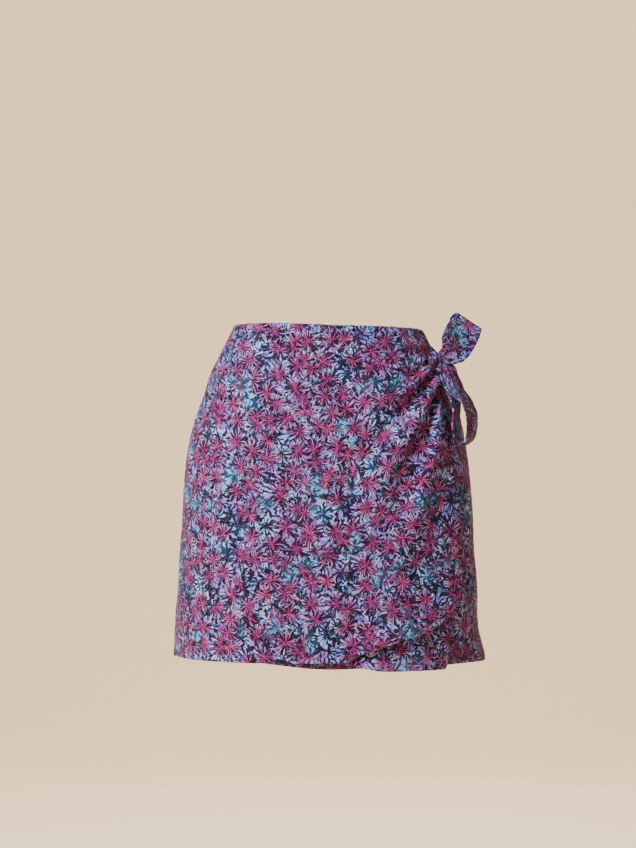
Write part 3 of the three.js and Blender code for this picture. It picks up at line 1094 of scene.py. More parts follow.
@dataclass(frozen=True)
class Topstitch:
    """A row of small stitches beside an edge. Lengths are in mm, a ring's in thicknesses."""

    inset: float
    length: float = 2.7
    gap: float = 1.1
    thick: float = 0.42
    flatness: float = 1.2
    sides: int = 6
    rings: tuple[Ring, ...] = (
        Ring(0.0, 0.35, -0.5), Ring(0.16, 0.95, 0.1), Ring(0.5, 1.0, 0.35), Ring(0.84, 0.95, 0.1),
        Ring(1.0, 0.35, -0.5),
    )

    def along(self, edge: Array, inward: Array) -> tuple[Array, Array]:
        """Lays the row beside an edge of the flat cloth.

        Args:
            edge: places along the edge.
            inward: for each, a place further in.

        Returns:
            The ends of each stitch, as two lists of places on the flat cloth.
        """
        way = unit(np.gradient(edge, axis=0))
        into = np.stack([-way[:, 1], way[:, 0]], axis=-1)
        into *= np.sign(np.sum(into * (inward - edge), axis=1, keepdims=True))
        line = edge + into * self.inset
        whole = reached_along(line)[-1]
        starts = np.arange(self.inset, whole - self.inset, self.length + self.gap)
        return on_line(line, starts), on_line(line, starts + self.length)

    def sew(self, name: str, patch: Patch, edges: Sequence[tuple[Array, Array]]) -> bpy.types.Object:
        """Sews rows of stitches into one piece.

        Args:
            name: the piece's name.
            patch: the cloth.
            edges: for each row, the edge and the places further in.

        Returns:
            The stitches, as one object.
        """
        starts, ends = [np.concatenate(part) for part in zip(*(self.along(*edge) for edge in edges))]
        first, out = patch.find(starts)
        last, _ = patch.find(ends)
        way = unit(last - first)
        side = unit(np.cross(way, out))
        out = np.cross(side, way)
        points, faces = [], []
        turns = np.arange(self.sides) * 2 * math.pi / self.sides
        for number in range(len(first)):
            base = len(points)
            for ring in self.rings:
                middle = mix(first[number], last[number], ring.share)
                middle = middle + out[number] * ring.lift * self.thick
                reach = ring.width * self.thick / 2
                for turn in turns:
                    beside = side[number] * math.cos(turn) * reach * self.flatness
                    points.append(middle + beside + out[number] * math.sin(turn) * reach)
            top = base + (len(self.rings) - 1) * self.sides
            for row in range(base, top, self.sides):
                for k in range(self.sides):
                    a, b = row + k, row + (k + 1) % self.sides
                    faces.append((b, a, a + self.sides, b + self.sides))
            faces.append(tuple(base + k for k in range(self.sides)))
            faces.append(tuple(top + k for k in reversed(range(self.sides))))
        places = np.array(points) * MM
        return mesh_object(name, places, faces, places[:, :2])


def edge_of(grid: Array, edge: str, backwards: bool = False) -> tuple[Array, Array]:
    """Returns one edge of a grid of places, and the places one step further in.

    Args:
        grid: places by column and row.
        edge: first, last, top or bottom.
        backwards: whether it is read from its end.

    Returns:
        The edge's places, and those further in.
    """
    step = 3
    pairs = {
        "first": (grid[0], grid[step]),
        "last": (grid[-1], grid[-1 - step]),
        "top": (grid[:, 0], grid[:, step]),
        "bottom": (grid[:, -1], grid[:, -1 - step]),
    }
    outer, inner = pairs[edge]
    return (outer[::-1], inner[::-1]) if backwards else (outer, inner)


def joined(*edges: tuple[Array, Array]) -> tuple[Array, Array]:
    """Returns edges that follow each other as one."""
    return np.concatenate([edge[0] for edge in edges]), np.concatenate([edge[1] for edge in edges])


def distance_to(edges: Sequence[tuple[Array, Array]], flat: Array) -> Array:
    """Measures how far each place of a grid is from the nearest of the edges.

    Args:
        edges: edges of the flat cloth, each with the places further in.
        flat: the grid's places on the flat cloth.

    Returns:
        The distances, worked out in blocks to save memory.
    """
    block = 4000
    line = np.concatenate([edge[0] for edge in edges])
    grid = flat.reshape(-1, 2)
    away = np.empty(len(grid))
    for start in range(0, len(grid), block):
        part = grid[start : start + block, None, :] - line[None, :, :]
        away[start : start + block] = np.sqrt((part**2).sum(axis=-1).min(axis=1))
    return away.reshape(flat.shape[:-1])


def cut_size(flat: Array) -> Pair:
    """Returns the width and length of the box round a flat piece, in metres."""
    return np.ptp(flat[..., 0]) * MM, np.ptp(flat[..., 1]) * MM


@dataclass(frozen=True)
class EdgeBand:
    """A turned edge and the groove of its stitches. Sizes are in mm, measured from the edge."""

    height: float
    ends: Pair
    groove: float
    groove_at: float
    groove_half: float

    def turned(self, to_edge: Array) -> Array:
        """Returns 1 on the turned edge and 0 further in."""
        return 1 - ease(to_edge, *self.ends)

    def __call__(self, to_edge: Array) -> Array:
        """Returns the height of the cloth there."""
        groove = self.groove * bell((to_edge - self.groove_at) / self.groove_half)
        return self.height * self.turned(to_edge) - groove


@dataclass
class Sewn:
    """A finished piece: its cloth, its stitches, and the flat cut's size and area in metres."""

    cloth: bpy.types.Object
    stitches: bpy.types.Object
    size: Pair
    area: float


# ---------------------------------------------------------------- panels


@dataclass
class Lay:
    """Where a panel's grid lies on the hollow: its angles, its drops and how far out it is."""

    angle: Array
    drop: Array
    offset: Array


@dataclass
class Panel:
    """One panel of the skirt. Sizes are in mm."""

    name: str
    node: str
    columns: int
    rows: int
    centre: float
    seed: int
    print_at: Pair
    snug: bool = False
    thickness: float = 1.15
    hem_thickness: float = 0.75
    band: EdgeBand = EdgeBand(height=0.25, ends=(7.8, 9.8), groove=0.30, groove_at=7.6, groove_half=1.3)
    layer: float = 2.4
    crinkle_waves: Pair = (7, 19)
    crinkle_height: float = 0.17
    pucker_waves: Pair = (5, 10)
    pucker_height: float = 0.26
    pucker_reach: float = 6

    def lay(self, run: Array, fall: Array) -> Lay:
        """Lays the panel on the hollow.

        Args:
            run: shares of the way round, from its right edge.
            fall: shares of the way down.

        Returns:
            Where it lies.
        """
        raise NotImplementedError

    def edges(self, flat: Array) -> list[tuple[Array, Array]]:
        """Returns the edges that are turned in and stitched, on the flat cloth."""
        raise NotImplementedError

    def build(self) -> Sewn:
        """Makes the cloth and its topstitching.

        Returns:
            Both, with the size and area of the cut.
        """
        run, fall = np.meshgrid(
            np.linspace(0, 1, self.columns + 1), np.linspace(0, 1, self.rows + 1), indexing="ij"
        )
        lay = self.lay(run, fall)
        flat = PATTERN.flat(lay.angle, lay.drop, self.centre)
        edges = self.edges(flat)
        away = distance_to(edges, flat)

        crinkle = Crinkle(self.seed, *self.crinkle_waves, self.crinkle_height)(flat)
        pucker = Crinkle(self.seed + 1, *self.pucker_waves, self.pucker_height)(flat)
        pucker *= bell((away - self.pucker_reach) / self.pucker_reach)
        height = crinkle + pucker + self.band(away)
        outer = HOLLOW.cloth(lay.angle, lay.drop, lay.offset + height, self.snug)
        normals = unit(np.cross(np.gradient(outer, axis=1), np.gradient(outer, axis=0)))
        wall = self.thickness + self.hem_thickness * self.band.turned(away)
        inner = outer - normals * wall[..., None]

        size = cut_size(flat)
        area = min(flat_area(flat) * MM * MM, size[0] * size[1])
        cloth = shell(self.name, outer * MM, inner * MM, flat * MM + np.array(self.print_at))
        sewing = Topstitch(inset=self.band.groove_at)
        stitches = sewing.sew(f"{self.name}_topstitch", Patch(outer, normals, flat), edges)
        return Sewn(cloth, stitches, size, area)


@dataclass
class OuterFront(Panel):
    """The front that lies on top, with its free edge under the knot and its rounded lower corner."""

    name: str = "outer_front"
    node: str = "front_outer"
    columns: int = 208
    rows: int = 212
    centre: float = 0
    seed: int = 21
    print_at: Pair = (0.0, 0.0)
    seam: float = -89.925
    corner_angle: float = 73
    crowding: float = 1.6
    length: float = 418
    rise_start: float = 12
    rise_slope: float = 0.35
    rise_ease: float = 30
    corner: float = 42
    lift_height: float = 5.5
    lift_reach: float = 34
    lift_drop: Pair = (90, 190)
    lift_across: Pair = (0, 60)
    lift_fade: float = 3
    deepest: float = -0.7
    climb: Pair = (8, 21)
    free_edge: Curve = field(default_factory=lambda: Curve((
        (22, 73), (40, 71), (54, 64), (70, 58), (90, 54.5), (110, 53.5),
        (150, 52.5), (190, 54.5), (225, 57), (320, 57), (460, 56.5),
    )))
    drapes: tuple[Fold, ...] = (
        Fold((118, 70, 8), (58, 62, 74), 6, 13, 3.4),
        Fold((124, 86, 16), (62, 88, 128), 7, 18, 6.5),
        Fold((131, 104, 18), (70, 138, 236), 7, 20, 8),
        Fold((137, 130, 70), (84, 205, 352), 7, 21, 7),
    )
    gathers: tuple[Fold, ...] = (
        Fold((124, 104, 72), (63, 94, 140), 2.6, 6.5, -7.5, 0.45),
        Fold((132, 121, 90), (80, 128, 200), 2.8, 7.5, -8.5, 0.5),
        Fold((120, 98, 62), (58, 82, 112), 3.2, 9, 3.4, 0.4),
        Fold((127, 113, 84), (72, 108, 168), 3.4, 9, 4.2, 0.4),
        Fold((133, 128, 116), (78, 122, 205), 3.0, 6.5, 4.4, 0.45),
        Fold((118, 96, 62), (44, 56, 76), 2.6, 7, 2.0, 0.3),
        Fold((120, 98, 68), (52, 70, 96), 2.4, 6, -2.6, 0.35),
        Fold((118, 90, 50), (36, 42, 50), 2.6, 7, -1.4, 0.3),
        Fold((116, 88, 44), (28, 30, 32), 2.6, 7, 1.4, 0.3),
        Fold((126, 110, 96), (132, 190, 262), 4, 9, -2.6, 0.35),
        Fold((104, 80, 38), (172, 238, 306), 5, 12, -6.5, 0.5),
        Fold((118, 102, 74), (180, 250, 338), 6, 14, 4.2, 0.4),
        Fold((92, 70, 30), (150, 196, 246), 6, 14, 3.0, 0.4),
    )

    def hem_across(self, share: Array) -> Array:
        """Returns how far across the hem is, by its share of the way to the free edge."""
        angle = mix(self.seam, self.free_edge(self.length), share)
        return HOLLOW.plain(angle, np.full(share.shape, self.length))[..., 0]

    def hem(self, across: Array, edge_across: float) -> Array:
        """Shapes the hem, which rises to the left and turns up at its corner.

        Args:
            across: how far across its places are.
            edge_across: how far across its free end is.

        Returns:
            How far down they are.
        """
        past = across - self.rise_start
        rise = self.rise_slope * past * ease(past, 0, self.rise_ease)
        into = np.maximum(0, across - edge_across + self.corner) / self.corner
        corner = self.corner * (1 - np.sqrt(np.maximum(0, 1 - into * into)))
        return self.length - rise - corner

    def lay(self, run: Array, fall: Array) -> Lay:
        """Lays it from the right side seam across to its free edge.

        Args:
            run: shares of the way round, from the seam.
            fall: shares of the way down.

        Returns:
            Where it lies.
        """
        u = 1 - (1 - run) ** self.crowding
        hem_across = self.hem_across(u)
        first, last = self.hem_across(np.array([0.0, 1.0]))
        hem = self.hem(hem_across, last)
        drop = mix(HOLLOW.waist(mix(self.seam, self.corner_angle, u)), hem, fall)
        angle = mix(self.seam, self.free_edge(drop), u)
        to_edge = (1 - u) * (last - first) / self.lift_reach
        fade = (1 - ease(hem_across, *self.lift_across)) * self.lift_fade
        to_hem = (hem - drop) / self.lift_reach + fade
        lift = self.lift_height * ease(drop, *self.lift_drop) * bell(np.minimum(to_edge, to_hem))
        across = HOLLOW.plain(angle, drop)[..., 0]
        drapes = sum(fold(across, drop) for fold in self.drapes)
        gathers = sum(fold(across, drop) for fold in self.gathers)
        layers = 1 + ease(angle, *self.climb)
        return Lay(angle, drop, layers * self.layer + np.maximum(drapes + gathers, self.deepest) + lift)

    def edges(self, flat: Array) -> list[tuple[Array, Array]]:
        """Finds the waist edge, and the free edge that turns into the hem.

        Args:
            flat: the grid's places on the flat cloth.

        Returns:
            The two edges, each with the places further in.
        """
        return [
            edge_of(flat, "top"),
            joined(edge_of(flat, "last"), edge_of(flat, "bottom", backwards=True)),
        ]


@dataclass
class UnderFront(Panel):
    """The front that lies beneath, with two free upright edges."""

    name: str = "under_front"
    node: str = "front_under"
    columns: int = 130
    rows: int = 160
    centre: float = 40
    seed: int = 31
    print_at: Pair = (0.613, 0.27)
    snug: bool = True
    free_edge: float = -35
    back_edge: float = 116
    length: float = 428.5
    rise_start: float = 66
    rise_slope: float = 0.2
    side_rise: float = 14
    side_start: float = 50

    def lay(self, run: Array, fall: Array) -> Lay:
        """Lays it from its free edge, under the outer front, round over the left hip.

        Args:
            run: shares of the way round, from its free edge.
            fall: shares of the way down.

        Returns:
            Where it lies.
        """
        angle = mix(self.free_edge, self.back_edge, run)
        across = HOLLOW.plain(angle, np.full(angle.shape, self.length))[..., 0]
        right = self.rise_slope * np.maximum(0, self.rise_start - across)
        side = self.side_rise * ease(angle, self.side_start, self.back_edge)
        drop = mix(HOLLOW.waist(angle), self.length - right - side, fall)
        return Lay(angle, drop, np.zeros(angle.shape))

    def edges(self, flat: Array) -> list[tuple[Array, Array]]:
        """Returns the waist edge and the hem."""
        return [edge_of(flat, "top"), edge_of(flat, "bottom")]


@dataclass
class BackPanel(Panel):
    """The back, from the right side seam round behind and over the left hip to the front."""

    name: str = "back"
    node: str = "back_panel"
    columns: int = 270
    rows: int = 176
    centre: float = 180
    seed: int = 41
    print_at: Pair = (1.377, 0.11)
    seam: float = -90
    whole: float = 246
    seam_gap: float = 0.075
    flick: float = 7
    flick_drop: Pair = (375, 430)
    flick_angle: float = 92
    flick_half: float = 22
    hem: Curve = field(default_factory=lambda: Curve((
        (0, 418), (45, 433), (90, 450), (135, 441), (180, 424), (214, 413), (226, 402), (246, 388),
    )))

    def lay(self, run: Array, fall: Array) -> Lay:
        """Lays it round the back, with the flick of its hem at the left hip.

        Args:
            run: shares of the way round, from its free end to the side seam.
            fall: shares of the way down.

        Returns:
            Where it lies.
        """
        turn = mix(self.seam_gap, self.whole, 1 - run)
        angle = self.seam - turn
        angle = np.where(angle > -180, angle, angle + 360)
        drop = mix(HOLLOW.waist(angle), self.hem(turn), fall)
        flick = bell((angle - self.flick_angle) / self.flick_half) * ease(drop, *self.flick_drop)
        return Lay(angle, drop, self.layer + self.flick * flick)

    def edges(self, flat: Array) -> list[tuple[Array, Array]]:
        """Returns the waist edge and the hem."""
        return [edge_of(flat, "top"), edge_of(flat, "bottom")]


# ---------------------------------------------------------------- the tie


@dataclass
class Knot:
    """The straps drawn tight round each other: a gathered lump with a band across it. Sizes are in mm."""

    name: str = "knot"
    node: str = "tie_knot"
    angle: float = 60.5
    drop: float = 48
    half_length: float = 10.5
    half_depth: float = 7.5
    half_height: float = 8.5
    offset: float = 13.5
    around: int = 96
    rings: int = 64
    core_folds: tuple[Ripple, ...] = (Ripple(0.5, 7, 2.1), Ripple(0.3, 12, -3.4, 1.0))
    fold_depth: float = 0.085
    fold_share: Pair = (0.45, 1.0)
    pinch: float = 0.16
    pinch_half: float = 0.34
    core_scale: float = 0.97
    pole: float = 0.95
    pole_flat: float = 13.0
    band_around: int = 96
    band_section: int = 40
    band_half_width: float = 4.6
    band_swell: Ripple = Ripple(0.16, 2, start=0.6)
    band_slanting: Ripple = Ripple(0.34, 1.9, 1.6)
    band_turning: Ripple = Ripple(0.22, 3.3, -2.2)
    band_thick: float = 2.3
    band_roundness: float = 0.6
    band_cup: float = 0.035
    band_seat: float = 0.90
    band_tilt: float = 0.42
    band_flat: float = 40
    print_at: Pair = (2.31, 0.4)

    def basis(self) -> tuple[Array, Array, Array, Array]:
        """Finds where the knot lies.

        Returns:
            Its middle, and its directions along the waist, out of the cloth and up.
        """
        angle, drop = np.array([self.angle]), np.array([self.drop])
        out = HOLLOW.outward(angle, drop)[0]
        height = HOLLOW.fluting(angle, drop)[0] + self.offset
        middle = HOLLOW.plain(angle, drop)[0] + out * height
        along = unit(np.array([-out[1], out[0], 0.0]))
        return middle, along, out, np.cross(along, out)

    def lump(self) -> tuple[Array, list[tuple[int, ...]], Array]:
        """Makes the gathered core.

        Returns:
            Its places, faces and flat places.
        """
        turn = np.arange(self.around) * 2 * math.pi / self.around
        rise = (np.arange(1, self.rings) / self.rings - 0.5) * math.pi
        turn, rise = np.meshgrid(turn, rise, indexing="ij")
        length = np.cos(turn) * np.cos(rise)
        folds = np.arctan2(np.sin(rise), np.sin(turn) * np.cos(rise))
        ridges = sum(ripple(folds, length) for ripple in self.core_folds)
        pinch = 1 - self.pinch * bell(length / self.pinch_half)
        depth = self.fold_depth * mix(*self.fold_share, np.abs(length))
        reach = (1 + ridges * depth) * pinch * self.core_scale
        grid = np.stack(
            [
                self.half_length * reach * np.cos(turn) * np.cos(rise),
                self.half_depth * reach * np.sin(turn) * np.cos(rise),
                self.half_height * reach * np.sin(rise),
            ],
            axis=-1,
        )
        flat = np.stack([turn * self.half_length, rise * self.half_height], axis=-1)
        rows = self.rings - 1
        pole = self.half_height * self.pole
        places = np.concatenate([grid.reshape(-1, 3), [[0, 0, -pole], [0, 0, pole]]])
        cloth = np.concatenate([flat.reshape(-1, 2), [[0, -self.pole_flat], [0, self.pole_flat]]])
        bottom = self.around * rows
        faces: list[tuple[int, ...]] = []
        for i in range(self.around):
            here, there = i * rows, (i + 1) % self.around * rows
            faces.append((bottom, there, here))
            faces.append((bottom + 1, here + rows - 1, there + rows - 1))
            faces += [(here + j, there + j, there + j + 1, here + j + 1) for j in range(rows - 1)]
        return places, faces, cloth

    def band(self, first: int) -> tuple[Array, list[tuple[int, ...]], Array]:
        """Makes the strap that is drawn round the core.

        Args:
            first: the number of its first place.

        Returns:
            Its places, faces and flat places.
        """
        turn = np.arange(self.band_around) * 2 * math.pi / self.band_around
        section = np.arange(self.band_section) * 2 * math.pi / self.band_section
        turn, section = np.meshgrid(turn, section, indexing="ij")
        side = np.cos(section) * self.band_half_width * (1 + self.band_swell(turn, turn))
        folds = self.band_slanting(side, np.sin(turn)) + self.band_turning(side, turn)
        rounded = np.sign(np.sin(section)) * np.abs(np.sin(section)) ** self.band_roundness
        thick = self.band_thick * rounded / 2
        reach = thick + folds * np.maximum(0, np.sin(section)) - self.band_cup * side * side
        out = self.half_depth * self.band_seat + self.band_thick / 2 + reach
        up = self.half_height * self.band_seat + self.band_thick / 2 + reach
        drift = self.band_tilt * np.sin(turn) * self.half_height
        grid = np.stack([side + drift, out * np.cos(turn), up * np.sin(turn)], axis=-1)
        flat = np.stack([side, turn * self.half_height], axis=-1).reshape(-1, 2)
        faces = []
        for i in range(self.band_around):
            here = first + i * self.band_section
            there = first + (i + 1) % self.band_around * self.band_section
            for k in range(self.band_section):
                ahead = (k + 1) % self.band_section
                faces.append((here + k, here + ahead, there + ahead, there + k))
        return grid.reshape(-1, 3), faces, flat

    def build(self) -> bpy.types.Object:
        """Makes the knot, as one piece of two wraps.

        Returns:
            The knot.
        """
        middle, along, out, up = self.basis()
        core, core_faces, core_flat = self.lump()
        band, band_faces, band_flat = self.band(len(core))
        own = np.concatenate([core, band])
        places = middle + own @ np.stack([along, out, up])
        flat = np.concatenate([core_flat, band_flat + self.band_flat]) * MM + np.array(self.print_at)
        knot = mesh_object(self.name, places * MM, core_faces + band_faces, flat)
        recalculate(knot)
        return knot


def recalculate(piece: bpy.types.Object) -> None:
    """Turns all of a piece's faces outwards.

    Args:
        piece: the piece, as an object of the scene.
    """
    bpy.ops.object.select_all(action="DESELECT")
    bpy.context.view_layer.objects.active = piece
    piece.select_set(True)
    bpy.ops.object.mode_set(mode="EDIT")
    bpy.ops.mesh.select_all(action="SELECT")
    bpy.ops.mesh.normals_make_consistent(inside=False)
    bpy.ops.object.mode_set(mode="OBJECT")
    piece.select_set(False)


KNOT = Knot()


class Route:
    """A smooth route through stops, with its speed evened out at each of them."""

    least: float = 1e-4

    def __init__(self, stops: Array) -> None:
        """Takes the stops in order."""
        self.stops = np.asarray(stops, float)

    def at(self, share: float) -> Array:
        """Finds a place on the route.

        Args:
            share: its share of the way along, from 0 to 1.

        Returns:
            The place.
        """
        stops, last = self.stops, len(self.stops) - 1
        i = min(int(share * last), last - 1)
        t = share * last - i
        before = stops[i - 1] if i > 0 else 2 * stops[0] - stops[1]
        after = stops[i + 2] if i + 2 <= last else 2 * stops[-1] - stops[-2]
        row = np.stack([before, stops[i], stops[i + 1], after])
        gaps = np.maximum(np.linalg.norm(np.diff(row, axis=0), axis=1) ** 0.5, self.least)
        slope = np.diff(row, axis=0) / gaps[:, None]
        into = (slope[0] - (row[2] - row[0]) / (gaps[0] + gaps[1]) + slope[1]) * gaps[1]
        outof = (slope[1] - (row[3] - row[1]) / (gaps[1] + gaps[2]) + slope[2]) * gaps[1]
        t2, t3 = t * t, t * t * t
        return (
            row[1] * (2 * t3 - 3 * t2 + 1) + into * (t3 - 2 * t2 + t)
            + row[2] * (3 * t2 - 2 * t3) + outof * (t3 - t2)
        )

    def way(self, share: float) -> Array:
        """Returns the direction along the route."""
        return unit(self.at(min(share + self.least, 1)) - self.at(max(share - self.least, 0)))


Stop = tuple[float, float, float, float, float, float, float, float]


@dataclass
class Strap:
    """A wide strap of doubled cloth that leaves the knot, gathered there and flat further out.

    Each stop is a place from the knot's middle, the strap's width and cup there, and its lean.
    Sizes are in mm.
    """

    name: str
    node: str
    stops: tuple[Stop, ...]
    rows: int
    seed: int
    print_at: Pair
    skew: float = 0
    columns: int = 44
    thickness: float = 2.3
    band: EdgeBand = EdgeBand(height=0.35, ends=(3.0, 4.4), groove=0.22, groove_at=3.4, groove_half=0.9)
    gathers: tuple[Ripple, ...] = (Ripple(0.6, 7.5, 0.03, 0.5), Ripple(0.4, 13.0, -0.05, 2.0))
    gather_height: float = 1.1
    gather_reach: float = 34
    gather_thinning: float = 0.5
    gathers_at_end: bool = False
    crinkle_waves: Pair = (8, 24)
    crinkle_height: float = 0.24
    soft_waves: Pair = (26, 60)
    soft_height: float = 0.5
    soft_count: int = 14
    soft_reached: Pair = (8, 40)
    corner: float = 0
    corner_from: float = 0.5

    def build(self) -> Sewn:
        """Makes the strap and its topstitching.

        Returns:
            Both, with the size and area of the flat strap.
        """
        table = np.array(self.stops)
        knot = KNOT.basis()[0]
        route, lean = Route(table[:, :3] + knot), Route(table[:, 5:8])
        shares = np.linspace(0, 1, self.rows + 1)
        middle = np.array([route.at(share) for share in shares])
        way = np.array([route.way(share) for share in shares])
        across = np.array([lean.at(share) for share in shares])
        across = unit(across - np.sum(across * way, axis=1, keepdims=True) * way)
        normal = np.cross(way, across)
        number = np.arange(len(table))
        stop = shares * number[-1]
        width = Curve(tuple(zip(number, table[:, 3])))(stop)
        cup = Curve(tuple(zip(number, table[:, 4])))(stop)
        reached = reached_along(middle)
        whole, widest = reached[-1], width.max()

        share = np.linspace(-1, 1, self.columns + 1)[:, None]
        into = np.clip(1 - (1 + share) * widest / 2 / max(self.corner, TINY), 0, 1)
        rounded = self.corner * (1 - np.sqrt(1 - into**2))
        rounded = rounded * ease(reached, whole * self.corner_from, whole)
        longer = self.skew * share * shares[None, :] - rounded
        flat = np.stack(np.broadcast_arrays(share * widest / 2, reached[None, :] + longer), axis=-1)
        gathered = bell(reached / self.gather_reach)
        if self.gathers_at_end:
            gathered = gathered + bell((whole - reached) / self.gather_reach)
        folds = sum(ripple(share, reached) for ripple in self.gathers)
        crinkle = Crinkle(self.seed, *self.crinkle_waves, self.crinkle_height)(flat)
        soft = Crinkle(self.seed + 5, *self.soft_waves, self.soft_height, self.soft_count)(flat)
        height = (
            -cup * share**2
            + self.thickness / 2
            + self.gather_height * folds * gathered
            + self.band((1 - np.abs(share)) * widest / 2)
            + crinkle
            + soft * ease(reached, *self.soft_reached)
        )
        half = share[..., None] * (width[None, :, None] / 2)
        outer = (
            middle[None]
            + across[None] * half
            + normal[None] * height[..., None]
            + way[None] * longer[..., None]
        )
        normals = unit(np.cross(np.gradient(outer, axis=1), np.gradient(outer, axis=0)))
        turned = np.sign(np.sum(normals * normal[None], axis=-1, keepdims=True))
        normals = normals * np.where(turned == 0, 1, turned)
        inner = outer - normals * (self.thickness - self.gather_thinning * gathered[None, :, None])
        size = (widest * MM, (whole + abs(self.skew)) * MM)
        area = min(widest * whole * MM * MM, size[0] * size[1])
        strap = shell(self.name, outer * MM, inner * MM, flat * MM + np.array(self.print_at))
        recalculate(strap)
        sewing = Topstitch(inset=self.band.groove_at)
        edges = [edge_of(flat, "first"), edge_of(flat, "last")]
        if not self.gathers_at_end:
            edges.append(edge_of(flat, "bottom"))
        stitches = sewing.sew(f"{self.name}_topstitch", Patch(outer, normals, flat), edges)
        return Sewn(strap, stitches, size, area)


FREE_END = Strap(
    name="free_end",
    node="tie_upper_end",
    rows=84,
    seed=51,
    print_at=(2.57, 0.1),
    skew=-3.3,
    corner=8,
    stops=(
        (6.8, -4.1, 2.7, 14, 1.5, 0.5, 0, -0.87),
        (14.6, -5, 5.4, 26.5, 3, 0.56, 0.04, -0.83),
        (21.4, -6.5, 11.2, 38, 4.5, 0.74, 0.08, -0.67),
        (30.6, -6.5, 29, 43.5, 4.5, 0.92, 0.12, -0.4),
        (39.4, -4.5, 49, 41.5, 3.5, 0.92, 0.15, -0.4),
    ),
)
LOOP = Strap(
    name="loop",
    node="tie_lower_loop",
    rows=300,
    seed=61,
    print_at=(2.71, 0.33),
    gathers_at_end=True,
    gather_reach=30,
    stops=(
        (6, -3.4, -5.6, 15, 1.5, 0.9, 0.42, 0),
        (14.5, -5.5, -11.5, 24, 2.5, 0.9, 0.42, 0),
        (19, -7, -24, 27, 2.5, 0.86, 0.5, 0),
        (27.5, -8, -39, 30, 2, 0.72, 0.69, 0),
        (38.5, -8, -52.5, 34, 1, 0.48, 0.88, 0),
        (44.5, -8, -70, 35, 0, 0.41, 0.91, 0),
        (45.2, -8, -86, 35, 0, 0.41, 0.91, 0),
        (42.4, -8, -98.5, 35, 0, 0.4, 0.92, 0),
        (34.3, -8.5, -103.5, 35, 0, 0.38, 0.92, 0),
        (26.7, -9.5, -96.5, 35, 0, 0.3, 0.95, 0),
        (24.5, -10.5, -81, 35, 0, 0.26, 0.97, 0),
        (25.8, -8, -62, 34, 0, 0.3, 0.95, 0),
        (22.6, -2.5, -43, 29, 0, 0.55, 0.84, 0),
        (16.1, -1.2, -25, 21, 0, 0.8, 0.6, 0),
        (6, 2.4, -8.8, 12, 0, 0.86, 0.5, 0),
    ),
)


@dataclass
class BackStrap:
    """The strap that comes along the waist edge from behind to the knot. Sizes are in mm.

    It narrows, rises and is gathered towards the knot, over the first shares of its run. Its area is
    stated as at least `least_area` of the box round its curve.
    """

    name: str = "strap_from_behind"
    node: str = "tie_back_strap"
    columns: int = 120
    rows: int = 30
    centre: float = 106
    width: float = 16
    narrowed: float = 0.7
    narrow_share: float = 0.3
    offset: float = 5.9
    rise: float = 6
    rise_share: float = 0.16
    thickness: float = 2.3
    band: EdgeBand = EdgeBand(height=0.3, ends=(2.2, 3.2), groove=0.2, groove_at=2.8, groove_half=0.8)
    gathers: Ripple = Ripple(0.5, 11, 5)
    gather_share: float = 0.34
    crinkle_waves: Pair = (8, 22)
    crinkle_height: float = 0.2
    least_area: float = 0.31
    seed: int = 71
    print_at: Pair = (2.93, 0.2)
    reach: Pair = (65.7, 140)
    top: Curve = field(default_factory=lambda: Curve((
        (65.7, 40.5), (70, 39), (76, 37.5), (82, 36), (90, 34), (104, 26), (120, 14), (140, 0),
    )))

    def build(self) -> Sewn:
        """Makes the strap and its topstitching.

        Returns:
            Both, with the size and area of the flat strap.
        """
        run, fall = np.meshgrid(
            np.linspace(0, 1, self.columns + 1), np.linspace(0, 1, self.rows + 1), indexing="ij"
        )
        angle = mix(*self.reach, run)
        width = self.width * mix(self.narrowed, 1, ease(run, 0, self.narrow_share))
        drop = self.top(angle) + width * fall
        rise = self.rise * (1 - ease(run, 0, self.rise_share))
        flat = PATTERN.flat(angle, drop, self.centre)
        folds = self.gathers(fall, run) * bell(run / self.gather_share)
        band = self.band(np.minimum(fall, 1 - fall) * width)
        crinkle = Crinkle(self.seed, *self.crinkle_waves, self.crinkle_height)(flat)
        outer = HOLLOW.cloth(angle, drop, self.offset + rise + folds + band + crinkle)
        normals = unit(np.cross(np.gradient(outer, axis=1), np.gradient(outer, axis=0)))
        inner = outer - normals * self.thickness
        size = cut_size(flat)
        box = size[0] * size[1]
        area = min(max(flat_area(flat) * MM * MM, self.least_area * box), box)
        strap = shell(self.name, outer * MM, inner * MM, flat * MM + np.array(self.print_at))
        sewing = Topstitch(inset=self.band.groove_at)
        edges = [edge_of(flat, "top"), edge_of(flat, "bottom")]
        stitches = sewing.sew(f"{self.name}_topstitch", Patch(outer, normals, flat), edges)
        return Sewn(strap, stitches, size, area)


# ---------------------------------------------------------------- the studio


@dataclass(frozen=True)
class Lamp:
    """One soft round light: its place, width, power and colour, and what it looks at."""

    name: str
    at: Triple
    size: float
    power: float
    colour: Triple
    to: Triple = (0.0, 0.0, -0.22)

    def build(self) -> None:
        """Adds the light to the scene."""
        lamp = bpy.data.lights.new(self.name, "AREA")
        lamp.shape, lamp.size, lamp.energy, lamp.color = "DISK", self.size, self.power, self.colour
        shown = bpy.data.objects.new(self.name, lamp)
        shown.location = self.at
        way = Vector(self.to) - Vector(self.at)
        shown.rotation_euler = way.to_track_quat("-Z", "Y").to_euler()
        bpy.context.scene.collection.objects.link(shown)


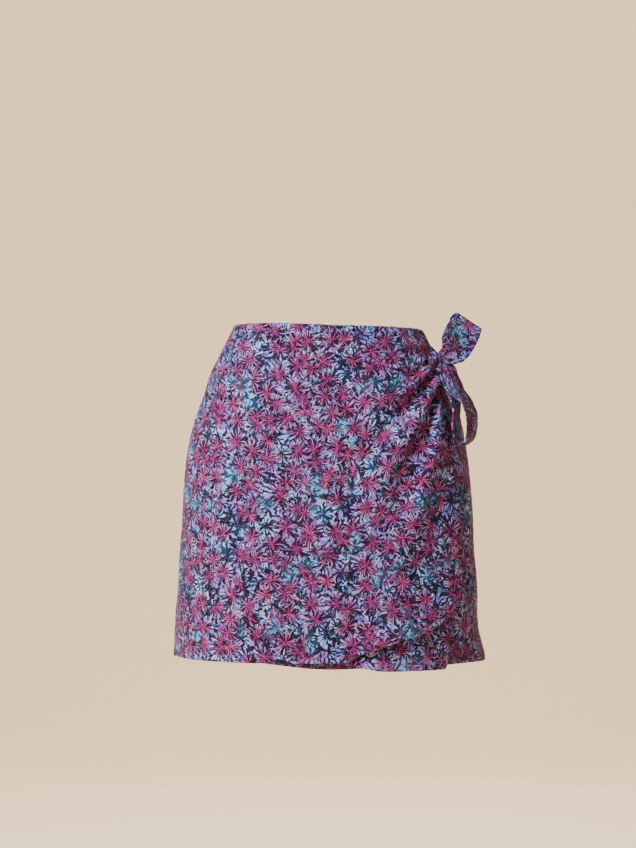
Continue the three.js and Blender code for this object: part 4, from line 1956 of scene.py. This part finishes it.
@dataclass
class Studio:
    """A pale floor that curves up all round, soft lights and the camera. Lengths are in metres."""

    floor: float = -1.05
    radius: float = 7.0
    height: float = 5.0
    cove: float = 3.0
    cove_steps: int = 14
    sides: int = 96
    camera_at: Triple = (-0.012, -3.2, -0.124)
    lens: float = 106.5
    sensor: float = 36.0
    sky_colour: Shade = linear(0.88, 0.91, 1.0)
    sky_strength: float = 0.30
    lamps: tuple[Lamp, ...] = (
        Lamp("key", (-2.0, -2.2, 1.35), 0.8, 197, (1.0, 0.98, 0.96)),
        Lamp("fill", (1.6, -3.2, 0.6), 1.8, 5, (0.95, 0.97, 1.0)),
        Lamp("back", (0.6, 2.6, 1.9), 1.6, 20, (1.0, 0.98, 0.95)),
        Lamp("wall", (0.0, 1.2, 2.8), 2.4, 420, (1.0, 0.95, 0.88), to=(0.0, 7.0, 0.2)),
    )

    def backdrop(self) -> bpy.types.Object:
        """Makes the floor, curved up into a wall all round.

        Returns:
            The floor and wall, as one object.
        """
        bpy.ops.object.select_all(action="DESELECT")
        bpy.ops.mesh.primitive_cylinder_add(
            vertices=self.sides,
            radius=self.radius,
            depth=self.height,
            location=(0, 0, self.floor + self.height / 2),
        )
        room = bpy.context.object
        room.name = "floor"
        bpy.ops.object.transform_apply(location=True, rotation=False, scale=False)
        bpy.ops.object.mode_set(mode="EDIT")
        bpy.ops.mesh.select_all(action="DESELECT")
        bpy.ops.object.mode_set(mode="OBJECT")
        for face in room.data.polygons:
            face.select = face.normal.z > 0.5
        bpy.ops.object.mode_set(mode="EDIT")
        bpy.ops.mesh.delete(type="FACE")
        bpy.ops.mesh.select_all(action="DESELECT")
        bpy.ops.object.mode_set(mode="OBJECT")
        low = self.floor + TINY
        for edge in room.data.edges:
            edge.select = all(room.data.vertices[v].co.z < low for v in edge.vertices)
        bpy.ops.object.mode_set(mode="EDIT")
        bpy.ops.mesh.bevel(offset=self.cove, segments=self.cove_steps, profile=0.5)
        bpy.ops.mesh.select_all(action="SELECT")
        bpy.ops.mesh.normals_make_consistent(inside=True)
        bpy.ops.mesh.faces_shade_smooth()
        bpy.ops.object.mode_set(mode="OBJECT")
        room.data.materials.append(Paper().make("backdrop_paper"))
        return room

    def build(self) -> None:
        """Makes the backdrop, the lights, the sky and the camera."""
        self.backdrop()
        for lamp in self.lamps:
            lamp.build()
        world = bpy.data.worlds.new("studio")
        world.use_nodes = True
        sky = world.node_tree.nodes["Background"]
        sky.inputs["Color"].default_value = self.sky_colour
        sky.inputs["Strength"].default_value = self.sky_strength
        bpy.context.scene.world = world

        lens = bpy.data.cameras.new("camera")
        lens.lens, lens.sensor_width = self.lens, self.sensor
        camera = bpy.data.objects.new("camera", lens)
        camera.location = self.camera_at
        camera.rotation_euler = (math.pi / 2, 0, 0)
        bpy.context.scene.collection.objects.link(camera)
        bpy.context.scene.camera = camera


# ---------------------------------------------------------------- the whole


def dress(
    piece: bpy.types.Object, materials: Sequence[bpy.types.Material], slot: str, *nodes: str
) -> None:
    """Gives a piece its finish and its place in the frame.

    Args:
        piece: the piece.
        materials: its materials, in the order its faces number them.
        slot: the slot it stands for; it is not used.
        nodes: the solids it replaces.
    """
    for material in materials:
        piece.data.materials.append(material)
    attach(piece, ROOT)
    if nodes:
        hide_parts(*nodes)
    log.info("%s: %d faces", piece.name, len(piece.data.polygons))


def main() -> None:
    """Builds the skirt and the studio."""
    logging.basicConfig(level=logging.INFO, format="%(name)s %(message)s")
    right = PrintedCloth(Face.RIGHT).make("print_right_side")
    wrong = PrintedCloth(Face.WRONG).make("print_wrong_side_and_shade")
    # the tie's print is a copy darkened all over with painted shade
    tie = PrintedCloth(Face.RIGHT, painted_shade=0.26).make("print_tie_painted_shade")
    thread = Thread().make("plum_thread")

    for panel in (OuterFront(), UnderFront(), BackPanel()):
        made = panel.build()
        dress(made.cloth, (right, wrong), "printed_cloth", panel.node)
        dress(made.stitches, (thread,), "printed_cloth")
        log.info("%s: cut %.3f by %.3f m, %.4f m2", panel.name, *made.size, made.area)

    knot = KNOT.build()
    dress(knot, (tie,), "printed_strap", KNOT.node)
    for strap in (BackStrap(), FREE_END, LOOP):
        made = strap.build()
        dress(made.cloth, (tie, tie), "printed_strap", strap.node)
        dress(made.stitches, (thread,), "printed_strap")
        log.info("%s: cut %.3f by %.3f m, %.4f m2", strap.name, *made.size, made.area)

    Studio().build()


if __name__ == "__main__":
    main()
